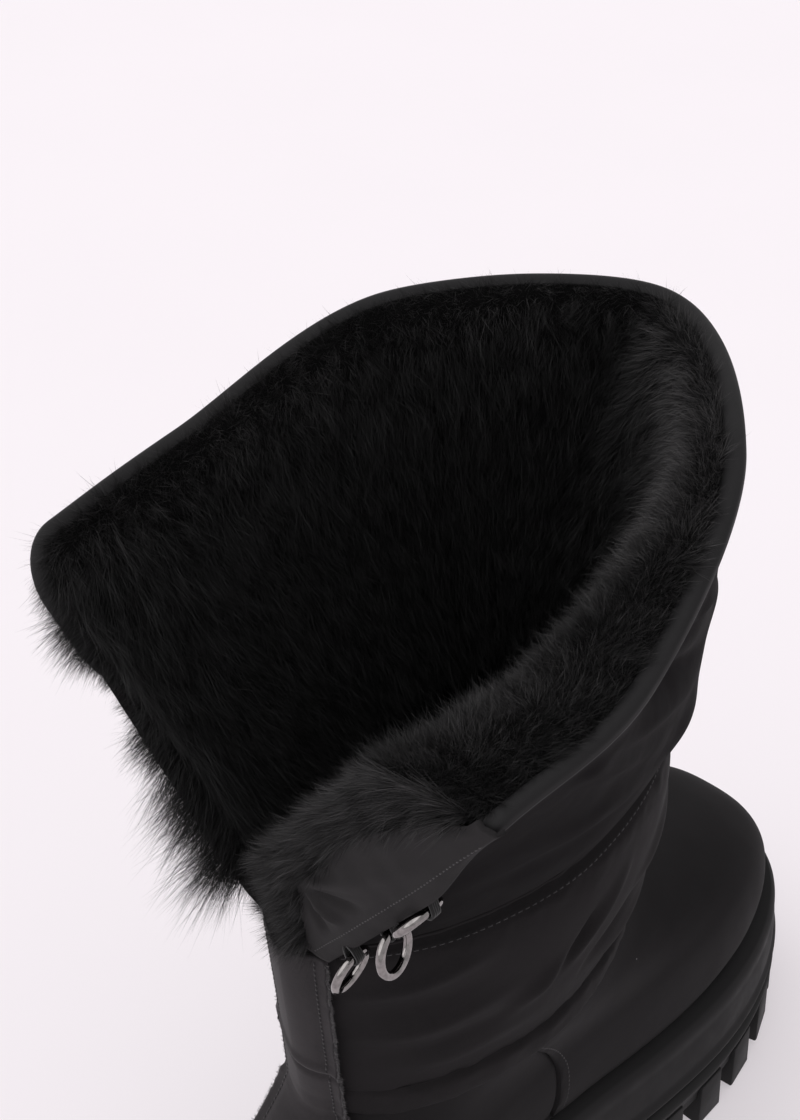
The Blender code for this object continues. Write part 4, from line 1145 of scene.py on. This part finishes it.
def make_facing():
    across, along = 46, 84

    def place(i, j):
        return facing_sheet(i / across, 0.012 + 1.028 * j / along)
    obj = grid_piece("slit_facing", across, along, place)
    thicken(obj, 0.9)
    dress(obj, FACING, "facing_fabric", "facing_right")
    share = np.linspace(0.03, 0.97, 120)
    u = np.full_like(share, 0.20)
    line = facing_sheet(u, share)
    out = face_normals(facing_sheet, u, share, 0.01, 0.005)
    out = out * np.sign(np.sum(out * panel_out(share), axis=1))[:, None]
    stitch_row("facing_stitches", line + out * 0.45, out, 1.8, "facing_fabric", 0.22)


# Foot

FOOT_MM_A_DEGREE = 1.6   # length round the foot for each degree, near the vamp's edge


def foot_face(a, level):
    """Outer face of the foot: the vamp's rolled edge lies over the quarter."""
    deg = np.degrees(a)
    skin = foot_skin(a, level)
    past = (np.abs(deg) - VAMP_DEG) * FOOT_MM_A_DEGREE
    inset = np.where(past < 0, 0.45 * np.exp(np.minimum(past, 0) / 0.7),
                     VAMP_STEP + 1.3 * np.exp(-np.maximum(past, 0) / 0.8))
    inset = inset * ramp(level, -0.02, 0.05)
    inset = inset - 0.28 * lumps(skin, 24, 51) - 0.10 * lumps(skin, 9, 52)
    inset = inset - 0.5 * puckers(skin, past, 4.0, 53) * (past < -0.4)
    return foot_point(a, level, inset)


def make_foot():
    plain = np.linspace(-180, 180, 301)
    near_edge = np.array([-2.0, -1.3, -0.8, -0.5, -0.25, -0.08, 0.02, 0.15, 0.4, 0.8, 1.3, 2.0])
    near_edge = near_edge / FOOT_MM_A_DEGREE
    plain = plain[np.abs(np.abs(plain) - VAMP_DEG) > 1.3]
    deg = np.sort(np.concatenate([plain, VAMP_DEG + near_edge, -VAMP_DEG - near_edge]))

    def inner(a, level):
        p = foot_point(a, level, FOOT_WALL)
        p[:, 2] = np.where(level == 0.0, deck_z(p[:, 0]) + SEAT_GAP, p[:, 2])
        return p
    obj = tube("foot_upper", deg, np.linspace(0, 0.985, 86), np.linspace(0, 0.985, 8), foot_face, inner)
    dress(obj, NUBUCK, "nubuck", "upper")
    level = np.linspace(0.05, 0.93, 160)
    for side, word in SIDES:
        a = np.full_like(level, side * math.radians(VAMP_DEG - 1.7))
        out = face_normals(foot_face, a, level)
        stitch_row("vamp_stitches_" + word, foot_face(a, level), out, 2.1, "nubuck", 0.30, 0.1)


# Backstay

STAY_HALF = 21.0         # half its width, as an angle round the heel
STAY_FOOT = 0.36         # share of its run that lies on the foot


def stay_line(level):
    """Foot and shaft levels up the back as one run from 0 to 1."""
    foot = level < STAY_FOOT
    on_shaft = 0.012 + 0.968 * (level - STAY_FOOT) / (1 - STAY_FOOT)
    return foot, np.where(foot, 0.05 + 0.935 * level / STAY_FOOT, on_shaft)


def stay_face(u, t, lift):
    """Backstay's face: u from -1 (right edge) to 1 (left edge), t up the back."""
    ragged = 0.22 * lumps(np.stack([u * 0, u * 0, t * 127], -1), 2.1, 61) * np.abs(u) ** 6
    a = np.radians(180.0 - u * (1 + 0.05 * ragged) * STAY_HALF)
    a = np.where(a > math.pi, a - 2 * math.pi, a)
    foot, level = stay_line(t)
    rise = (0.9 + 0.7 * (u < 0)) * np.abs(u) ** 10 - 0.35 * hump(np.abs(u), 0.8, 0.1)
    crease = 0.9 * hump(t - 0.02 * u, 0.545, 0.012) - 0.7 * hump(t - 0.02 * u, 0.575, 0.018)
    over = lift + rise - crease
    on_foot = foot_point(a, level, -(over + 0.2))
    bulge = np.abs(2 * np.clip((level - 0.1) / 0.9, 0, 1) - 1)
    pad = BAFFLE_ROWS[1][2] * 0.35 * np.clip(1 - bulge ** 2.3, 0, 1)
    left = ramp(u, -0.6, 0.8)
    on_shaft = shaft_closed(a, level, -(pad * (1 - 0.8 * left) + over - rise * left + 0.9 - 1.6 * left))
    return np.where(foot[:, None], on_foot, on_shaft)


def make_backstay():
    across, along = 48, 128

    def place(i, j):
        return stay_face(2 * i / across - 1, j / along, 0.6)
    obj = grid_piece("heel_backstay", across, along, place)
    thicken(obj, 1.2)
    dress(obj, STAY, "nubuck", "backstay")
    t = np.linspace(0.02, 0.985, 200)
    for side, word in SIDES:
        u = np.full_like(t, side * 0.80)
        line = stay_face(u, t, 1.25)
        out = face_normals(lambda b, w: stay_face(b, w, 1.2), u, t, 0.02, 0.01)
        out = out * np.sign(np.sum(out * (line - SHAFT_MIDDLE) * (1, 1, 0), axis=1))[:, None]
        stitch_row("backstay_stitches_" + word, line, out, 2.0, "nubuck", 0.30, 0.0)
        n = 2000
        t2 = RNG.uniform(0.01, 0.99, n)
        u2 = np.full(n, float(side))
        root = stay_face(u2, t2, RNG.uniform(0.3, 1.2, n))
        away = unit(root - stay_face(u2 * 0.9, t2, 0.6))
        reach = unit(away + RNG.normal(scale=0.5, size=(n, 3))) * RNG.uniform(0.4, 1.2, n)[:, None]
        blades("backstay_fray_" + word, root, reach, np.zeros((n, 3)), RNG.uniform(0.08, 0.16, n),
               RNG.uniform(0, 1, n), finish=FRAY, slot="nubuck")


# Lacing rings and tabs

def ring_pose(node):
    """Centre and axis of a ring from its solid, in mm from the heel's back."""
    p = np.array([v.co for v in frame["nodes"][node].data.vertices]) / MM + (REST_X, 0.0, 0.0)
    centre = p.mean(axis=0)
    return centre, np.linalg.svd(p - centre, full_matrices=False)[2][2]


def make_ring(name, node):
    centre, axis = ring_pose(node)
    clear_selection()
    turn = Vector(axis).to_track_quat("Z", "Y").to_euler()
    bpy.ops.mesh.primitive_torus_add(
        major_radius=RING_RADIUS * MM, minor_radius=RING_WIRE * MM, major_segments=64, minor_segments=16,
        location=world(centre), rotation=turn)
    obj = bpy.context.object
    obj.name = name
    obj.data.name = name
    bpy.ops.object.transform_apply(location=True, rotation=True, scale=True)
    # the butt joint of the bent wire, at the top under the tape
    mid = Vector(world(centre))
    for v in obj.data.vertices:
        arm = v.co - mid
        way = (arm - Vector(axis) * arm.dot(Vector(axis))).normalized()
        pinch = 0.10 * hump((way - Vector((0, 0, 1))).length, 0.0, 0.08)
        v.co = v.co.lerp(mid + way * RING_RADIUS * MM, pinch)
    bpy.ops.object.shade_smooth()
    dress(obj, GUNMETAL, "ring_metal", node)


# Rings on each slit edge: share of the slit's height; their angle from the right and the left edge
RING_SEATS = (0.15, 0.34, 0.53)
RING_FROM_EDGE = (7.0, 28.0)
SEAT_TOP = 0.93          # the shell's top, on the scale of those shares
TAPE_WIDE = 2.6
TAPE_PLY = 0.7
TAPE_HUG = 0.55          # from the wire's face, or the tab's middle, to the middle of the tape


def make_tab(name, node, ring, side, share, from_edge):
    """Folded tape that runs from the shaft round a ring's wire and back."""
    centre, axis = ring_pose(ring)
    down = np.array([0.0, 0.0, -1.0])
    hang = unit(down - axis * np.dot(axis, down))
    top = centre - hang * RING_RADIUS
    wire = unit(np.cross(axis, hang))
    a = np.array([side * math.radians(SLIT_EDGE - from_edge)])
    seat = collar_face(a, np.array([share]) / SEAT_TOP)[0]
    back = seat - top
    back = unit(back - wire * np.dot(back, wire))
    up = np.cross(wire, back)
    run = abs(np.dot(seat - top, back)) + 0.4
    r = RING_WIRE + TAPE_HUG
    turn = np.radians(np.linspace(90, 270, 13))
    path = [back * run + up * TAPE_HUG, back * (run * 0.55) + up * (r * 0.8)]
    path += [back * math.cos(k) * r + up * math.sin(k) * r for k in turn]
    path += [back * (run * 0.55) - up * (r * 0.8), back * run - up * TAPE_HUG]
    path = np.array(path)
    across, along = 8, len(path) - 1

    def place(i, j):
        w = (i / across - 0.5) * TAPE_WIDE
        return top + path[j] + wire * w[:, None]
    obj = grid_piece(name, across, along, place)
    thicken(obj, TAPE_PLY)
    dress(obj, TAPE, "webbing", node)


def make_rings():
    for side, word in SIDES:
        for k, share in enumerate(RING_SEATS, 1):
            ring = "ring_%s_%d" % (word, k)
            make_ring("lacing_" + ring, ring)
            make_tab("tape_tab_%s_%d" % (word, k), "tab_%s_%d" % (word, k), ring, side, share,
                     RING_FROM_EDGE[side > 0])


# Sole

CAP_SHARES = (0.0, 0.3, 0.6, 0.85)


def on_deck(x, row):
    return deck_z(x)


def capped(name, steps, edge, rows, rise=on_deck):
    """Solid inside a stack of outlines: edge(angle, row) gives their points, rise(x, row) the caps' curve."""
    caps = len(CAP_SHARES)
    keep = np.concatenate([CAP_SHARES, np.ones(rows), CAP_SHARES[::-1]])
    row = np.concatenate([np.full(caps, 0), np.arange(rows), np.full(caps, rows - 1)])
    deg = np.linspace(-180, 180, steps + 1)

    def place(i, j):
        a = np.radians(deg[i])
        p, q = edge(a, row[j]), edge(-a, row[j])
        middle = np.stack([(p[:, 0] + q[:, 0]) / 2, 0 * a], -1)
        xy = middle + (p[:, :2] - middle) * keep[j][:, None]
        lift = p[:, 2] + rise(xy[:, 0], row[j]) - rise(p[:, 0], row[j])
        return np.column_stack([xy, lift])
    return weld(grid_piece(name, steps, len(keep) - 1, place))


def make_midsole():
    share = np.linspace(MIDSOLE_SIDE[0][0], 1.0, 40)
    out = column(MIDSOLE_SIDE, 1, share)

    def edge(a, row):
        p = sole_point(a, out[row])
        return np.column_stack([p, sole_z(p[:, 0], share[row]) + SEAT_GAP * (row == 0)])
    dress(capped("platform_midsole", 256, edge, len(share)), PLATFORM, "platform", "midsole")


# Tread lugs along each side: station, length along the edge
SIDE_LUGS = ((0.075, 15.0), (0.165, 15.0), (0.255, 15.0), (0.345, 15.0), (0.435, 15.0), (0.525, 15.0),
             (0.615, 15.5), (0.705, 15.5), (0.79, 15.5), (0.87, 15.0), (0.94, 14.0))
# Bars across the middle: station, length along the boot, half width
MIDDLE_LUGS = ((0.18, 26.0, 14.5), (0.56, 15.0, 17.0), (0.655, 15.0, 20.0), (0.75, 15.0, 22.0),
               (0.845, 14.0, 20.0))
LUG_REACH = 17.0         # how far a side lug runs in from the outline
LUG_OUT = 8.0            # and out past it
LUG_TOP = 0.345          # share of the sole's side at its outer top
LUG_ROOT = 0.27          # and inside the plate


def lug(corners):
    """Bevelled block from a cube; corners(x, y, z) of -1 or 1 gives each corner's place."""
    clear_selection()
    bpy.ops.mesh.primitive_cube_add(size=2.0)
    obj = bpy.context.object
    for v in obj.data.vertices:
        v.co = Vector(world(corners(*[int(round(c)) for c in v.co])))
    weld(obj)
    soft = obj.modifiers.new("edge", "BEVEL")
    soft.width = 0.8 * MM
    soft.segments = 2
    bpy.ops.object.modifier_apply(modifier=soft.name)
    return obj


def side_lug(t, length, side):
    a = side * math.acos(2 * t - 1)
    p = sole_point(np.array([a]), np.array([0.0]))[0]
    n = unit(sole_point(np.array([a]), np.array([1.0]))[0] - p)
    e = np.array([-n[1], n[0]])

    def corners(x, y, z):
        outer = y > 0
        reach = LUG_OUT if outer else -LUG_REACH
        k = length * (0.92 if outer else 0.80)
        if z < 0:
            xy = p + n * reach + e * k * x / 2
            return (*xy, float(floor_z(p[0] + e[0] * k * x / 2)))
        xy = p + n * (reach - (1.8 if outer else 0)) + e * (k - 1.5) * x / 2
        return (*xy, float(sole_z(xy[0], LUG_TOP if outer else LUG_ROOT)))
    return lug(corners)


def middle_lug(t, length, half):
    x0 = SOLE_LENGTH * t + HEEL_X

    def corners(x, y, z):
        px = x0 + x * length / 2
        return (px, y * half, float(floor_z(px) if z < 0 else sole_z(px, LUG_ROOT)))
    return lug(corners)


def make_outsole():
    share = np.concatenate([[OUTSOLE_SIDE[0][0]], np.linspace(OUTSOLE_SIDE[0][0], OUTSOLE_SIDE[-1][0], 30)])
    out = column(OUTSOLE_SIDE, 1, share)
    out[0] -= 2.0

    def edge(a, row):
        p = sole_point(a, out[row])
        under = floor_z(p[:, 0]) + LUG_HEIGHT
        z = np.maximum(sole_z(p[:, 0], share[row]), under + 1.2)
        return np.column_stack([p, np.where(row == 0, under, z)])

    def rise(x, row):
        return np.where(row == 0, floor_z(x), sole_z(x, 0.4))
    plate = capped("tread_outsole", 240, edge, len(share), rise)
    lugs = [side_lug(t, length, side) for t, length in SIDE_LUGS for side in (-1, 1)]
    lugs += [middle_lug(*row) for row in MIDDLE_LUGS]
    clear_selection()
    for obj in lugs:
        obj.select_set(True)
    bpy.context.view_layer.objects.active = lugs[0]
    bpy.ops.object.join()
    blocks = bpy.context.object
    pick(plate)
    union = plate.modifiers.new("tread", "BOOLEAN")
    union.operation = "UNION"
    union.object = blocks
    union.solver = "EXACT"
    bpy.ops.object.modifier_apply(modifier=union.name)
    bpy.data.objects.remove(blocks, do_unlink=True)
    pick(plate)
    bpy.ops.object.shade_smooth_by_angle(angle=math.radians(38))
    dress(plate, TREAD, "tread_rubber", "outsole")


def make_insole():
    rows = ((SEAT_GAP, 0.6), (INSOLE_THICK - 1.2, 0.0), (INSOLE_THICK - 0.4, 0.5), (INSOLE_THICK, 1.4))
    lift, pull = np.array(rows).T

    def edge(a, row):
        p = foot_point(a, 0.0, FOOT_WALL + 1.0)
        d = unit(p[:, :2] - FOOT_MIDDLE)
        xy = p[:, :2] - d * pull[row][:, None]
        return np.column_stack([xy, deck_z(xy[:, 0]) + lift[row]])
    dress(capped("felt_insole", 160, edge, len(rows)), FELT, "felt", "insole")


# Studio

CAMERA_AT = (-197.0, -197.8, 514.1)
CAMERA_TO = (121.9, 58.3, 220.0)
CAMERA_ROLL = 3.044
CAMERA_LENS = 53.97
SUN_FROM = (-0.65, 0.45, 0.75)
SUN_STRENGTH = 1.35
SUN_SPREAD = 75.0        # degrees, for soft shadows
ROOM_STRENGTH = 0.77
# painted light: strength of the floor's own glow, which fills in the boot's shadow
FLOOR_PAINTED_GLOW = 0.36


def make_studio():
    clear_selection()
    bpy.ops.mesh.primitive_plane_add(size=8.0, location=(0.0, 0.0, -0.0002))
    ground = bpy.context.object
    ground.name = "studio_floor"
    bpy.ops.object.transform_apply(location=True, rotation=True, scale=True)
    # painted light: a faint glow of the floor's own, which lifts the boot's shadow on it
    paper = Finish("pale_paper_painted_glow", (0.56, 0.535, 0.55), 0.9,
                   (("Specular IOR Level", 0.1), ("Emission Strength", FLOOR_PAINTED_GLOW),
                    ("Emission Color", (1.0, 0.945, 0.98, 1.0))))
    paper.colour(paper.blend(paper.noise(160.0, 2.0, 0.5), (0.555, 0.525, 0.545), (0.570, 0.540, 0.560)))
    ground.data.materials.append(paper.mat)
    sun = bpy.data.lights.new("key", "SUN")
    sun.energy = SUN_STRENGTH
    sun.angle = math.radians(SUN_SPREAD)
    lamp = bpy.data.objects.new("key", sun)
    lamp.rotation_euler = Vector(SUN_FROM).to_track_quat("Z", "Y").to_euler()
    bpy.context.scene.collection.objects.link(lamp)
    room = bpy.data.worlds.new("studio")
    room.use_nodes = True
    backdrop = room.node_tree.nodes["Background"].inputs
    backdrop["Color"].default_value = (1.0, 0.985, 1.0, 1.0)
    backdrop["Strength"].default_value = ROOM_STRENGTH
    bpy.context.scene.world = room
    bpy.context.scene.view_settings.view_transform = "Standard"


def make_camera():
    lens = bpy.data.cameras.new("camera")
    lens.lens = CAMERA_LENS
    lens.sensor_width = 36.0
    cam = bpy.data.objects.new("camera", lens)
    at, to = Vector(world(CAMERA_AT)), Vector(world(CAMERA_TO))
    turn = (to - at).to_track_quat("-Z", "Y").to_matrix().to_4x4()
    cam.matrix_world = Matrix.Translation(at) @ turn @ Matrix.Rotation(math.radians(CAMERA_ROLL), 4, "Z")
    bpy.context.scene.collection.objects.link(cam)
    bpy.context.scene.camera = cam


make_camera()
make_studio()
make_shaft()
make_binding()
make_fur()
make_facing()
make_foot()
make_backstay()
make_rings()
make_midsole()
make_outsole()
make_insole()
seam_stitches()
